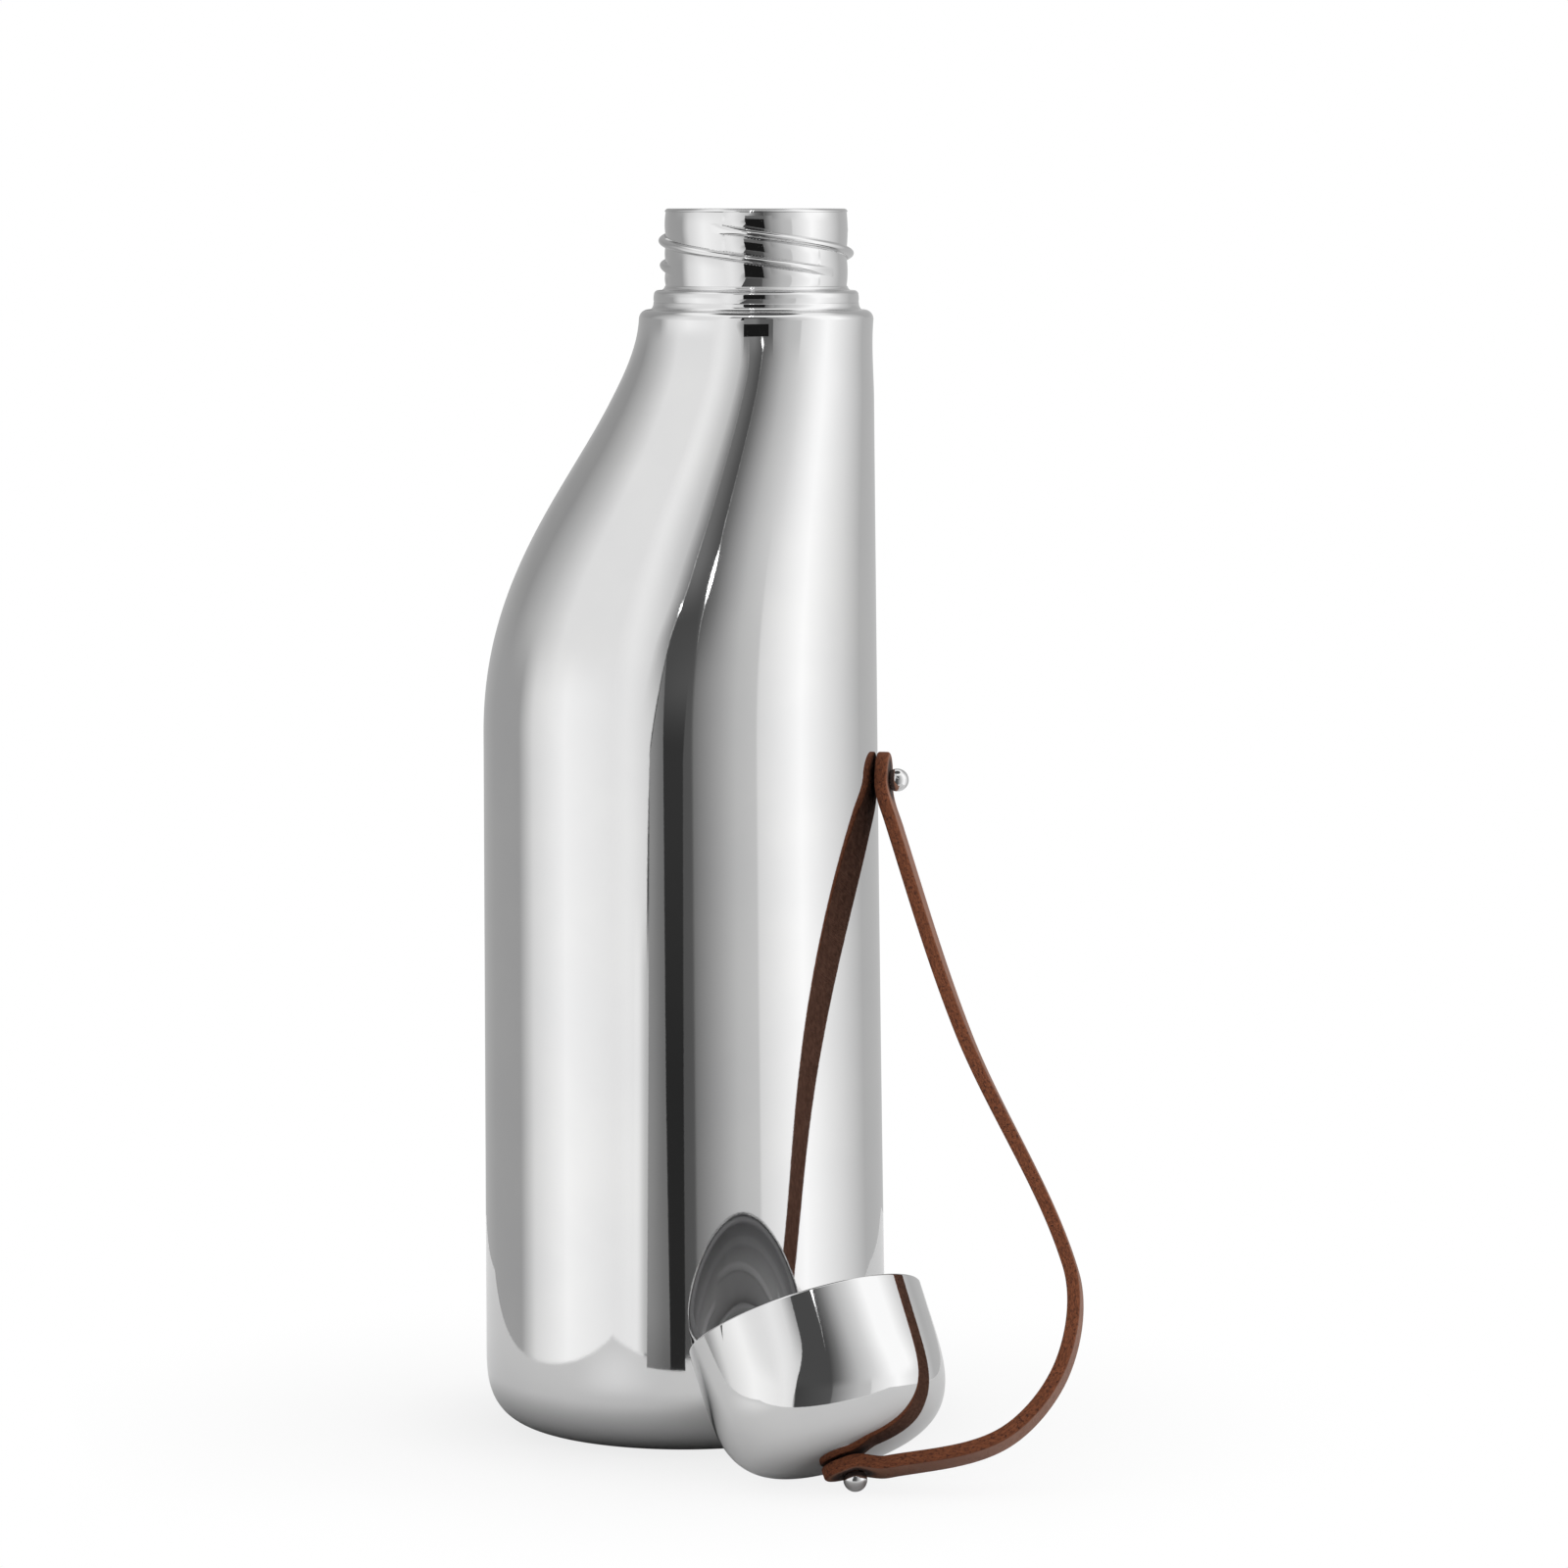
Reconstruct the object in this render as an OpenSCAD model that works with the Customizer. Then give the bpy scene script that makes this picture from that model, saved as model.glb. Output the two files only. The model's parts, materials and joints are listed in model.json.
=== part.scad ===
// Gourd shaped vacuum bottle of polished steel with its screw cap off.
// The cap leans upside down against the bottle and hangs on a leather strap.
// Sizes are in millimetres. The origin is the centre of the foot, +Z is up,
// and +X points to the straight side, which carries the strap stud.

/* [Body] */
// Diameter of the body
body_d = 71.8; // [68:0.2:76]
// Height of the shoulder that the cap rim closes on
shoulder_z = 200.2; // [190:0.2:215]
// Sideways shift of the neck from the centre of the foot
neck_shift = 13; // [8:0.5:16]
// Height where the curved side starts to draw in
swell_z = 125; // [110:1:135]
// Reach of the lower bend of the curved side
lower_bend = 35; // [25:1:45]
// Reach of the upper bend of the curved side
upper_bend = 22; // [14:1:30]
// How far the straight side is hollow between foot and shoulder
side_bow = 0.2; // [0:0.05:0.6]
// Radius of the edge round the shoulder
shoulder_round = 1.7; // [1:0.1:2]
// Width of the rounded corner at the foot
corner_w = 13.4; // [10:0.2:16]
// Height of the rounded corner at the foot
corner_h = 13.6; // [11:0.2:18]
// Fullness of the foot corner, where 2 is round and 4 is nearly square
corner_fullness = 2.9; // [2.2:0.1:3.6]

/* [Walls] */
// Wall of the outer shell
shell_t = 0.6; // [0.4:0.1:0.9]
// Wall of the inner vessel
liner_t = 0.5; // [0.4:0.1:0.8]
// Vacuum gap between the outer shell and the inner vessel
vacuum_gap = 3.5; // [3:0.1:5]
// Width of the flat foot ring
foot_ring_w = 2; // [1.4:0.1:3]
// Depth of the hollow inside the foot ring
foot_recess = 1.6; // [0.8:0.1:2.2]

/* [Neck] */
// Outer diameter of the neck
neck_d = 32.4; // [31:0.1:33]
// Height of the neck above the shoulder
neck_h = 17.8; // [16:0.1:20]
// Wall of the threaded neck
neck_t = 0.7; // [0.5:0.1:0.9]
// Width of the collar step round the foot of the neck
collar_w = 2; // [1.8:0.1:3]
// Width of the shoulder round the collar, which is also the wall room of the cap
shoulder_w = 2.6; // [2.4:0.1:5]
// Height of the collar above the shoulder
collar_h = 3.2; // [2.4:0.1:4]
// Number of thread starts
thread_starts = 3; // [2:1:4]
// Rise of one full thread turn
thread_lead = 13.6; // [11:0.1:15]
// Angle that each thread start runs round the neck
thread_turn = 200; // [150:10:240]
// Height of the thread ridges
thread_h = 1.1; // [0.8:0.1:1.2]
// Width of the thread ridges
thread_w = 1.85; // [1.4:0.05:2.2]
// Distance from the lip down to the first thread ridge
thread_drop = 3; // [2.4:0.1:4]

/* [Cap] */
// Height of the cap's crown above the roof of its insert
crown_h = 5.2; // [4.2:0.1:10]
// Height of the straight wall below the dome
cap_wall_h = 6; // [3:0.5:8]
// Fullness of the dome, where 2 is round and 4 is nearly flat on top
cap_fullness = 3.5; // [3:0.1:4.2]
// Wall of the steel cap shell
cap_t = 0.6; // [0.4:0.1:0.8]
// Thickness of the silicone gasket
gasket_t = 1.6; // [1.2:0.1:2]
// Thickness of the roof of the threaded insert
roof_t = 1.4; // [1:0.1:1.8]

/* [Cap at rest] */
// Tilt of the cap axis from upside down
cap_lean = 29; // [20:1:36]
// Heading of the cap pole, seen from above
cap_turn = -45; // [-60:1:-35]
// Bearing of the cap from the centre of the bottle
cap_bearing = -59; // [-70:1:-50]

/* [Strap and studs] */
// Height of the side stud
stud_z = 116.7; // [108:0.1:122]
// Width of the strap
strap_w = 10; // [8:0.5:12]
// Thickness of the strap
strap_t = 2.25; // [1.8:0.05:2.6]
// Angle that the strap swings forward from straight down at the side stud
strap_swing = 12; // [6:1:18]
// Angle that the strap turns on the cap stud
strap_yaw = -7; // [-14:1:0]
// Diameter of the stud balls
ball_d = 4.1; // [3.6:0.1:4.6]
// Diameter of the stud necks
stud_neck_d = 2.6; // [2.2:0.1:2.8]
// Height of a ball centre above the outer face of the strap
ball_rise = 1.3; // [1:0.1:1.7]
// Diameter of the threaded stud shanks
shank_d = 3; // [2.8:0.1:3.4]

/* [Hidden] */

// Clearances, and how far a cutter runs past the faces it cuts
weld_gap = 0.05;
press_gap = 0.1;
run_gap = 0.06;
seat_gap = 0.2;
lean_gap = 0.35;
floor_gap = 0.15;
thread_gap = 0.3;
cut = 1;

// Body
body_r = body_d / 2;
neck_r = neck_d / 2;
collar_r = neck_r + collar_w;
shoulder_r = collar_r + shoulder_w;
foot_r = body_r - corner_w;
plain_foot_h = 12;
lean_z = corner_h + plain_foot_h;
shoulder_low_z = shoulder_z - shoulder_round;
curve_lean = 0.15;
shell_sides = 56;
corner_steps = 8;
straight_steps = 5;
swell_steps = 14;
round_steps = 4;

// Neck
lip_z = shoulder_z + neck_h;
collar_z = shoulder_z + collar_h;
skirt_drop = 1.4;
skirt_z = shoulder_z - skirt_drop;
skirt_step = 0.25;
skirt_r = collar_r - skirt_step;
foot_fillet = 0.7;
neck_fillet = 0.8;
edge_round = 0.5;
bore_r = neck_r - neck_t - weld_gap - liner_t;
liner_neck_r = bore_r + liner_t;
thread_start = -109.5;
thread_root = 0.35;
run_out = 18;
thread_step = 8;

// Floor of the bottle
base_plate_t = 0.5;
flange_w = 3;
flange_gap = 0.2;
plate_gap = 0.15;
ring_slope = 1.2;
ring_lap = 0.8;
plate_rim_h = 1;
middle_z = 6;
middle_top_z = middle_z + base_plate_t;
dimple_r = 5;
dimple_h = 1;
dimple_slope = 1;
pump_hole_r = 1;
seal_r = 3;
seal_t = 0.8;
getter_r = 4.5;
getter_t = 1.6;
getter_x = 14;
liner_floor_z = middle_top_z + vacuum_gap;
liner_split_z = lean_z;
liner_corner = 10;
liner_inset = shell_t + vacuum_gap;
liner_sides = 40;
liner_swell_steps = 10;
liner_swell_end = 0.8;
// The liner draws in to its tube: rise above the last swell level and radius beyond that of the tube
liner_draw = [[6, 1.6], [9, 0.3], [12, -0.8]];
liner_shift = 0.01;
tube_low_z = shoulder_low_z - upper_bend;
tube_lap = 10;

// Cap
cap_r = shoulder_r;
insert_gap = 0.06;
ridge_r = neck_r + thread_h;
insert_bore_r = ridge_r + thread_gap;
insert_mouth_r = collar_r + thread_gap;
mouth_lap = 0.6;
insert_mouth_h = collar_h + mouth_lap;
insert_low_z = 0.5;
insert_slope = 1;
insert_ridge_z = neck_h - thread_drop - thread_lead / thread_starts / 2;
gasket_squeeze = 0.2;
roof_z = neck_h + gasket_t - gasket_squeeze;
roof_top_z = roof_z + roof_t;
cap_h = roof_top_z + crown_h;
insert_turn = 110;
insert_steps = 12;
gasket_lap = 0.5;
gasket_inner_r = bore_r - gasket_lap;
gasket_outer_r = neck_r + gasket_lap;
gasket_gap = 0.02;
gasket_edge = 0.4;
nut_flats = 5.5;
nut_r = nut_flats / 2 / cos(30);
nut_h = 2;
nut_pocket_gap = 0.4;
nut_gap = 0.15;
nut_z = cap_h - cap_t - nut_gap - nut_h;
foam_gap = 0.3;
foam_rim_w = 1;
foam_steps = 8;
dome_steps = 22;

// Studs
ball_r = ball_d / 2;
stud_neck_r = stud_neck_d / 2;
shank_r = shank_d / 2;
shank_gap = 0.03;
ball_above_seat = seat_gap + strap_t + ball_rise;
boss_r = 3.4;
boss_t = 2.6;
boss_floor = 0.6;
boss_gap = 0.2;
cap_shank_h = cap_h - nut_z;
neck_sink = 0.2;
dent_gap = 0.08;

// Cap at rest: the rim clears the body by lean_gap and the ball stands just above the floor
cap_dir = [sin(cap_lean) * cos(cap_turn), sin(cap_lean) * sin(cap_turn), -cos(cap_lean)];
bearing_skew = cap_turn - cap_bearing;
rim_reach = norm([cap_r * cos(cap_lean) * cos(bearing_skew), cap_r * sin(bearing_skew)]);
cap_reach = body_r + lean_gap + rim_reach;
ball_drop = (cap_h + ball_above_seat) * cos(cap_lean) + ball_r;
dome_drop = max([for (p = dome(cap_r, cap_h)) p[1] * cos(cap_lean) + p[0] * sin(cap_lean)]);
cap_lift = floor_gap + max(ball_drop, dome_drop);
cap_origin = [cap_reach * cos(cap_bearing), cap_reach * sin(cap_bearing), cap_lift];

// Strap: each knot gives its share of the straight way from stud to stud and its distance out
strap_knots = [[0.067, 2.2], [0.379, 16.3], [0.714, 36.4], [0.853, 35.6], [0.956, 25.7], [0.999, 6.3]];
strap_chamfer = 0.45;
strap_steps = 7;
strap_tip_steps = 5;
strap_tip_start = 8;
strap_twist = 0.06;
side_x = right_x(stud_z);
strap_top = [side_x + seat_gap + strap_t / 2, 0, stud_z];
strap_low = cap_origin + (cap_h + seat_gap + strap_t / 2) * cap_dir;
top_dir = [0, -sin(strap_swing), -cos(strap_swing)];
low_x = unit([1, 0, 0] - cap_dir[0] * cap_dir);
low_y = cross(cap_dir, low_x);
low_dir = -(cos(strap_yaw) * low_x + sin(strap_yaw) * low_y);

function unit(v) = v / norm(v);

// Points of an arc of radius r round c from angle a to angle b
function arc(c, r, a, b, n = 6) =
    [for (i = [0:n]) c + r * [cos(a + (b - a) * i / n), sin(a + (b - a) * i / n)]];

// Radius and height of the cap dome from its rim to its pole, for a radius r and a height h
function dome(r, h) = concat([[r, 0]], [for (i = [0:dome_steps])
    let (a = 90 * i / dome_steps)
    [r * pow(cos(a), 2 / cap_fullness),
        cap_wall_h + (h - cap_wall_h) * pow(sin(a), 2 / cap_fullness)]]);

// Radius of the inner face of the dome at height z
function dome_inner_r(z) =
    let (u = max(0, z - cap_wall_h) / (cap_h - cap_t - cap_wall_h))
    (cap_r - cap_t) * pow(max(0, 1 - pow(u, cap_fullness)), 1 / cap_fullness);

// The straight side: its distance from the foot axis at height z
function right_x(z) =
    let (u = max(0, min(1, (z - lean_z) / (shoulder_low_z - lean_z))), top_x = neck_shift + shoulder_r)
    body_r + (top_x - body_r) * u - 4 * side_bow * u * (1 - u);

// The curved side as one Bezier curve, from t = 0 at swell_z to t = 1 under the shoulder edge
function bezier(p, t) =
    pow(1 - t, 3) * p[0] + 3 * pow(1 - t, 2) * t * p[1] + 3 * (1 - t) * t * t * p[2] + t * t * t * p[3];
left_top_x = neck_shift - shoulder_r;
left_curve = [
    [-body_r, swell_z],
    [-body_r, swell_z + lower_bend],
    [left_top_x - curve_lean * upper_bend, shoulder_low_z - upper_bend],
    [left_top_x, shoulder_low_z]
];

// A level of the body is [height, centre x, radius]
function level(left, right, z, inset) = [z, (left + right) / 2, (right - left) / 2 - inset];
function straight_levels(z0, inset, n) = [for (i = [0:n])
    let (z = z0 + (swell_z - z0) * i / n)
    level(-body_r, right_x(z), z, inset)];
function swell_levels(inset, n, end = 1) = [for (i = [1:n])
    let (p = bezier(left_curve, end * i / n))
    level(p[0], right_x(p[1]), p[1], inset)];
function corner_levels(inset) = [for (i = [0:corner_steps])
    let (a = 90 * i / corner_steps)
    [inset + (corner_h - inset) * (1 - pow(cos(a), 2 / corner_fullness)), 0,
        foot_r + (corner_w - inset) * pow(sin(a), 2 / corner_fullness)]];
function shoulder_levels(inset) = [for (i = [1:round_steps])
    let (a = 90 * i / round_steps, r = shoulder_round - inset)
    [shoulder_low_z + r * sin(a), neck_shift, shoulder_r - shoulder_round + r * cos(a)]];
function body_levels(inset) = concat(
    corner_levels(inset),
    straight_levels(lean_z, inset, straight_steps),
    swell_levels(inset, swell_steps),
    shoulder_levels(inset),
    [[shoulder_z - inset, neck_shift, skirt_r + weld_gap]]);

// Radius of the inner face of the shell at height z in the foot corner
function corner_inner_r(z) =
    let (u = 1 - (z - shell_t) / (corner_h - shell_t))
    foot_r + (corner_w - shell_t) * pow(1 - pow(u, corner_fullness), 1 / corner_fullness);

// Levels of the inner vessel, which draws in to its neck tube below the shoulder
function liner_levels(inset, neck_r_end) =
    let (swell = swell_levels(inset, liner_swell_steps, liner_swell_end), last = swell[len(swell) - 1])
    concat(
        straight_levels(liner_split_z, inset, 4),
        swell,
        [for (d = liner_draw) [last[0] + d[0], neck_shift, neck_r_end + d[1]]]);

function rings(levels, sides) = [for (l = levels) [for (i = [0:sides - 1])
    [l[1] + l[2] * cos(360 * i / sides), l[2] * sin(360 * i / sides), l[0]]]];
function reversed(list) = [for (i = [len(list) - 1:-1:0]) list[i]];

// One closed solid through a list of rings of equal length. A looped skin joins the last ring
// to the first, and any other skin has two flat ends.
module skin(rings, looped = false) {
    n = len(rings[0]);
    m = len(rings);
    last = looped ? m - 1 : m - 2;
    sides = [for (j = [0:last], i = [0:n - 1])
        let (
            a = j * n + i,
            b = j * n + (i + 1) % n,
            c = ((j + 1) % m) * n + (i + 1) % n,
            d = ((j + 1) % m) * n + i
        )
        each [[a, c, b], [a, d, c]]];
    ends = looped ? [] : [[for (i = [0:n - 1]) i], [for (i = [n - 1:-1:0]) (m - 1) * n + i]];
    polyhedron(points = [for (r = rings) each r], faces = concat(sides, ends));
}

module at_neck() {
    translate([neck_shift, 0, 0]) children();
}

module cap_frame() {
    translate(cap_origin) rotate([0, 180 - cap_lean, cap_turn]) children();
}

// Helical ridge round the Z axis that falls as it turns. It stands out from radius r by h,
// or inwards where h is negative, and fades out over run_out degrees at both ends.
// Its profile gives shares of the ridge width, and heights above r.
module thread_ridge(r, h, turn, z_start) {
    steps = ceil(turn / thread_step);
    root = sign(h) * thread_root;
    skin([for (i = [0:steps])
        let (
            a = turn * i / steps,
            z = z_start - thread_lead * a / 360,
            fade = sin(90 * min(1, (a + 1) / run_out, (turn + 1 - a) / run_out)),
            profile = [[0.5, -root], [0.4, 0.45 * h * fade], [0.18, h * fade],
                [-0.18, h * fade], [-0.4, 0.45 * h * fade], [-0.5, -root]]
        )
        [for (p = profile) [(r + p[1]) * cos(a), (r + p[1]) * sin(a), z + sign(h) * thread_w * p[0]]]]);
}

// The outer shell, from the foot round the corner and up to the hole under the collar
module outer_shell() {
    outside = rings(body_levels(0), shell_sides);
    inside = rings(body_levels(shell_t), shell_sides);
    color("silver") difference() {
        skin(concat(outside, reversed(inside)), looped = true);
        translate([side_x - shell_t - cut, 0, stud_z]) rotate([0, 90, 0])
            cylinder(h = shell_t + 2 * cut, r = shank_r + shank_gap, $fn = 48);
    }
}

// Bottom cover with the foot ring, whose flange lies on the turned in edge of the shell
module base_cup() {
    ring_r = foot_r - weld_gap;
    ring_in_r = ring_r - foot_ring_w;
    flange_z = shell_t + flange_gap;
    color("silver") rotate_extrude($fn = 96) polygon([
        [0, foot_recess],
        [ring_in_r - ring_slope, foot_recess],
        [ring_in_r, 0],
        [ring_r, 0],
        [ring_r, flange_z],
        [ring_r + flange_w, flange_z],
        [ring_r + flange_w, flange_z + base_plate_t],
        [ring_r - ring_lap, flange_z + base_plate_t],
        [ring_in_r - ring_lap, foot_recess + base_plate_t],
        [0, foot_recess + base_plate_t]
    ]);
}

// Pressure plate that closes the vacuum space, with a raised dimple over its pumping hole
module middle_base() {
    edge_r = corner_inner_r(middle_z) - plate_gap;
    color("darkgray") rotate_extrude($fn = 96) polygon([
        [pump_hole_r, middle_z + dimple_h],
        [dimple_r - dimple_slope, middle_z + dimple_h],
        [dimple_r, middle_z],
        [edge_r, middle_z],
        [edge_r, middle_top_z + plate_rim_h],
        [edge_r - base_plate_t, middle_top_z + plate_rim_h],
        [edge_r - base_plate_t, middle_top_z],
        [dimple_r, middle_top_z],
        [dimple_r - dimple_slope, middle_top_z + dimple_h],
        [pump_hole_r, middle_top_z + dimple_h]
    ]);
}

module seal_plug() {
    color("dimgray") translate([0, 0, middle_z + dimple_h - seal_t])
        cylinder(h = seal_t, r = seal_r, $fn = 48);
}

module getter() {
    color("gray") translate([getter_x, 0, middle_top_z]) cylinder(h = getter_t, r = getter_r, $fn = 48);
}

// Upper part of the inner vessel: lofted body and straight neck tube up to the lip
module inner_body() {
    tube_h = lip_z - tube_low_z;
    color("gainsboro") difference() {
        union() {
            skin(rings(liner_levels(liner_inset, liner_neck_r), liner_sides));
            at_neck() translate([0, 0, tube_low_z + tube_lap])
                cylinder(h = tube_h - tube_lap, r = liner_neck_r, $fn = 96);
        }
        translate([0, 0, -liner_shift])
            skin(rings(liner_levels(liner_inset + liner_t, bore_r), liner_sides));
        at_neck() translate([0, 0, tube_low_z]) cylinder(h = tube_h + cut, r = bore_r, $fn = 96);
    }
}

// Bottom cup of the inner vessel, welded on below the loft
module inner_base() {
    r = body_r - liner_inset;
    z = liner_floor_z;
    c = liner_corner;
    color("gainsboro") rotate_extrude($fn = 96) polygon(concat(
        [[0, z]],
        arc([r - c, z + c], c, 270, 360, 10),
        [[r, liner_split_z], [r - liner_t, liner_split_z]],
        arc([r - c, z + c], c - liner_t, 360, 270, 10),
        [[0, z + liner_t]]));
}

// Stepped neck ring with the collar, the skirt in the shell and the rolled thread
module threaded_neck() {
    c = edge_round;
    inner_r = neck_r - neck_t;
    step_r = collar_r - neck_t;
    color("silver") at_neck() union() {
        rotate_extrude($fn = 96) polygon(concat(
            [[skirt_r - neck_t, skirt_z], [skirt_r, skirt_z], [skirt_r, shoulder_z]],
            arc([collar_r + foot_fillet, shoulder_z + foot_fillet], foot_fillet, 270, 180, 4),
            arc([collar_r - c, collar_z - c], c, 0, 90, 4),
            arc([neck_r + neck_fillet, collar_z + neck_fillet], neck_fillet, 270, 180, 4),
            arc([neck_r - c, lip_z - c], c, 0, 90, 4),
            [[inner_r, lip_z], [inner_r, collar_z - neck_t], [step_r, collar_z - neck_t],
            [step_r, shoulder_z]]));
        for (k = [0:thread_starts - 1])
            rotate([0, 0, thread_start + 360 * k / thread_starts])
                thread_ridge(neck_r, thread_h, thread_turn, lip_z - thread_drop);
    }
}

// Ball stud along +Z, with its seat at z = 0, a ball above it and a shank below
module ball_stud(shank_h) {
    union() {
        translate([0, 0, ball_above_seat]) sphere(r = ball_r, $fn = 48);
        translate([0, 0, -neck_sink])
            cylinder(h = ball_above_seat + neck_sink, r = stud_neck_r, $fn = 48);
        translate([0, 0, -shank_h]) cylinder(h = shank_h, r = shank_r, $fn = 48);
    }
}

// Blind threaded boss welded inside the shell, which keeps the vacuum tight
module side_boss() {
    face_x = side_x - shell_t - boss_gap;
    color("darkgray") translate([face_x, 0, stud_z]) rotate([0, -90, 0]) difference() {
        cylinder(h = boss_t, r = boss_r, $fn = 48);
        translate([0, 0, -cut])
            cylinder(h = boss_t - boss_floor + cut, r = shank_r + shank_gap, $fn = 48);
    }
}

module side_stud() {
    color("silver") translate([side_x, 0, stud_z]) rotate([0, 90, 0])
        ball_stud(shell_t + boss_gap + boss_t - boss_floor - press_gap);
}

// Centre line of the strap: Hermite curves through the knots, with the given direction at each stud
route = concat([strap_top],
    [for (k = strap_knots) strap_top + k[0] * (strap_low - strap_top) + k[1] * [1, 0, 0]], [strap_low]);
function route_dir(i) = i == 0 ? top_dir : i == len(route) - 1 ? low_dir :
    (route[i + 1] - route[i - 1]) / (norm(route[i + 1] - route[i]) + norm(route[i] - route[i - 1]));
function hermite(i, t) =
    let (s = norm(route[i + 1] - route[i]))
    (2 * t * t * t - 3 * t * t + 1) * route[i] + (t * t * t - 2 * t * t + t) * s * route_dir(i)
    + (3 * t * t - 2 * t * t * t) * route[i + 1] + (t * t * t - t * t) * s * route_dir(i + 1);
spans = len(route) - 1;
free_line = [for (i = [0:spans - 1], k = [0:strap_steps - 1]) hermite(i, k / strap_steps)];

// Each station is [centre, half width]; the ends are half round about the studs
tip_r = strap_w / 2;
tip_angles = [for (k = [0:strap_tip_steps - 1])
    strap_tip_start + (90 - strap_tip_start) * k / strap_tip_steps];
stations = concat(
    [for (a = tip_angles) [strap_top - tip_r * cos(a) * top_dir, tip_r * sin(a)]],
    [for (p = free_line) [p, tip_r]],
    [[strap_low, tip_r]],
    [for (a = reversed(tip_angles)) [strap_low + tip_r * cos(a) * low_dir, tip_r * sin(a)]]);

// The width runs across the side stud axis at the top and across the cap axis at the bottom
top_across = unit(cross([1, 0, 0], top_dir));
low_across = unit(cross(cap_dir, low_dir));
function across(i) =
    let (u = i / (len(stations) - 1))
    unit((1 - u) * top_across + u * low_across + strap_twist * sin(180 * u) * [1, 0, 0]);
function station_dir(i) =
    unit(stations[min(i + 1, len(stations) - 1)][0] - stations[max(i - 1, 0)][0]);

function strap_ring(i) =
    let (
        t = station_dir(i),
        out = unit(cross(t, across(i))),
        w = cross(t, out),
        h = stations[i][1],
        c = min(strap_chamfer, h / 3),
        e = strap_t / 2
    )
    [for (p = [
        [h, e - c], [h - c, e], [c - h, e], [-h, e - c],
        [-h, c - e], [c - h, -e], [h - c, -e], [h, c - e]])
        stations[i][0] + p[0] * w + p[1] * out];

// Hole for a stud neck, with the dent that its ball presses into the outer face
module stud_hole() {
    cylinder(h = strap_t + 2 * cut, r = stud_neck_r + run_gap, center = true, $fn = 48);
    translate([0, 0, strap_t / 2 + ball_rise]) sphere(r = ball_r + dent_gap, $fn = 48);
}

module strap() {
    color("sienna") difference() {
        skin([for (i = [0:len(stations) - 1]) strap_ring(i)]);
        translate(strap_top) rotate([0, 90, 0]) stud_hole();
        translate(strap_low) rotate([0, 180 - cap_lean, cap_turn]) stud_hole();
    }
}

module cap_shell() {
    outer = dome(cap_r, cap_h);
    inner = dome(cap_r - cap_t, cap_h - cap_t);
    color("silver") cap_frame() difference() {
        rotate_extrude($fn = 96) polygon(concat(
            [for (p = outer) [max(0, p[0]), p[1]]],
            reversed([for (p = inner) [max(0, p[0]), p[1]]])));
        translate([0, 0, cap_h - cap_t - cut])
            cylinder(h = cap_t + 2 * cut, r = shank_r + shank_gap, $fn = 48);
    }
}

// Threaded plastic insert: mouth over the collar, threaded bore and roof over the lip
module cap_insert() {
    outside = [for (k = [0:insert_steps])
        let (z = insert_low_z + (roof_top_z - insert_low_z) * k / insert_steps)
        [dome_inner_r(z) - insert_gap, z]];
    color("dimgray") cap_frame() union() {
        rotate_extrude($fn = 96) polygon(concat(
            [[insert_mouth_r, insert_low_z]],
            outside,
            [[0, roof_top_z], [0, roof_z], [insert_bore_r, roof_z],
            [insert_bore_r, insert_mouth_h + insert_slope], [insert_mouth_r, insert_mouth_h]]));
        for (k = [0:thread_starts - 1])
            rotate([0, 0, 360 * k / thread_starts])
                thread_ridge(insert_bore_r, -thread_h, insert_turn, insert_ridge_z);
    }
}

module cap_gasket() {
    e = gasket_edge;
    z = roof_z - gasket_gap;
    color("gray") cap_frame() rotate_extrude($fn = 96) polygon([
        [gasket_inner_r, z],
        [gasket_inner_r, z - gasket_t + e],
        [gasket_inner_r + e, z - gasket_t],
        [gasket_outer_r - e, z - gasket_t],
        [gasket_outer_r, z - gasket_t + e],
        [gasket_outer_r, z]
    ]);
}

// Foam disc between the insert roof and the dome, hollow round the nut
module cap_foam() {
    z0 = roof_top_z + press_gap;
    z1 = cap_h - cap_t - foam_gap;
    pocket_r = nut_r + nut_pocket_gap;
    color("beige") cap_frame() rotate_extrude($fn = 96) polygon(concat(
        [[pocket_r, z0]],
        [for (k = [0:foam_steps])
            let (z = z0 + (z1 - z0) * k / foam_steps)
            [max(pocket_r + foam_rim_w, dome_inner_r(z) - foam_gap), z]],
        [[pocket_r, z1]]));
}

module cap_nut() {
    color("darkgray") cap_frame() translate([0, 0, nut_z]) difference() {
        cylinder(h = nut_h, r = nut_r, $fn = 6);
        translate([0, 0, -cut]) cylinder(h = nut_h + 2 * cut, r = shank_r + shank_gap, $fn = 48);
    }
}

module cap_stud() {
    color("silver") cap_frame() translate([0, 0, cap_h]) ball_stud(cap_shank_h);
}

outer_shell();
base_cup();
middle_base();
seal_plug();
getter();
inner_body();
inner_base();
threaded_neck();
side_boss();
side_stud();
strap();
cap_shell();
cap_insert();
cap_gasket();
cap_foam();
cap_nut();
cap_stud();
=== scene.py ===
# %% [markdown]
# Gourd water bottle. This lesson dresses the parts of a steel vacuum bottle for a product picture.
# Every length is in metres, the bottle stands at the origin with +Z up, and +X is its straight side.

# %% Load the parts
import json
import math

import bmesh
import bpy
import numpy as np
from mathutils import Matrix, Vector
from mathutils.kdtree import KDTree

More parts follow.
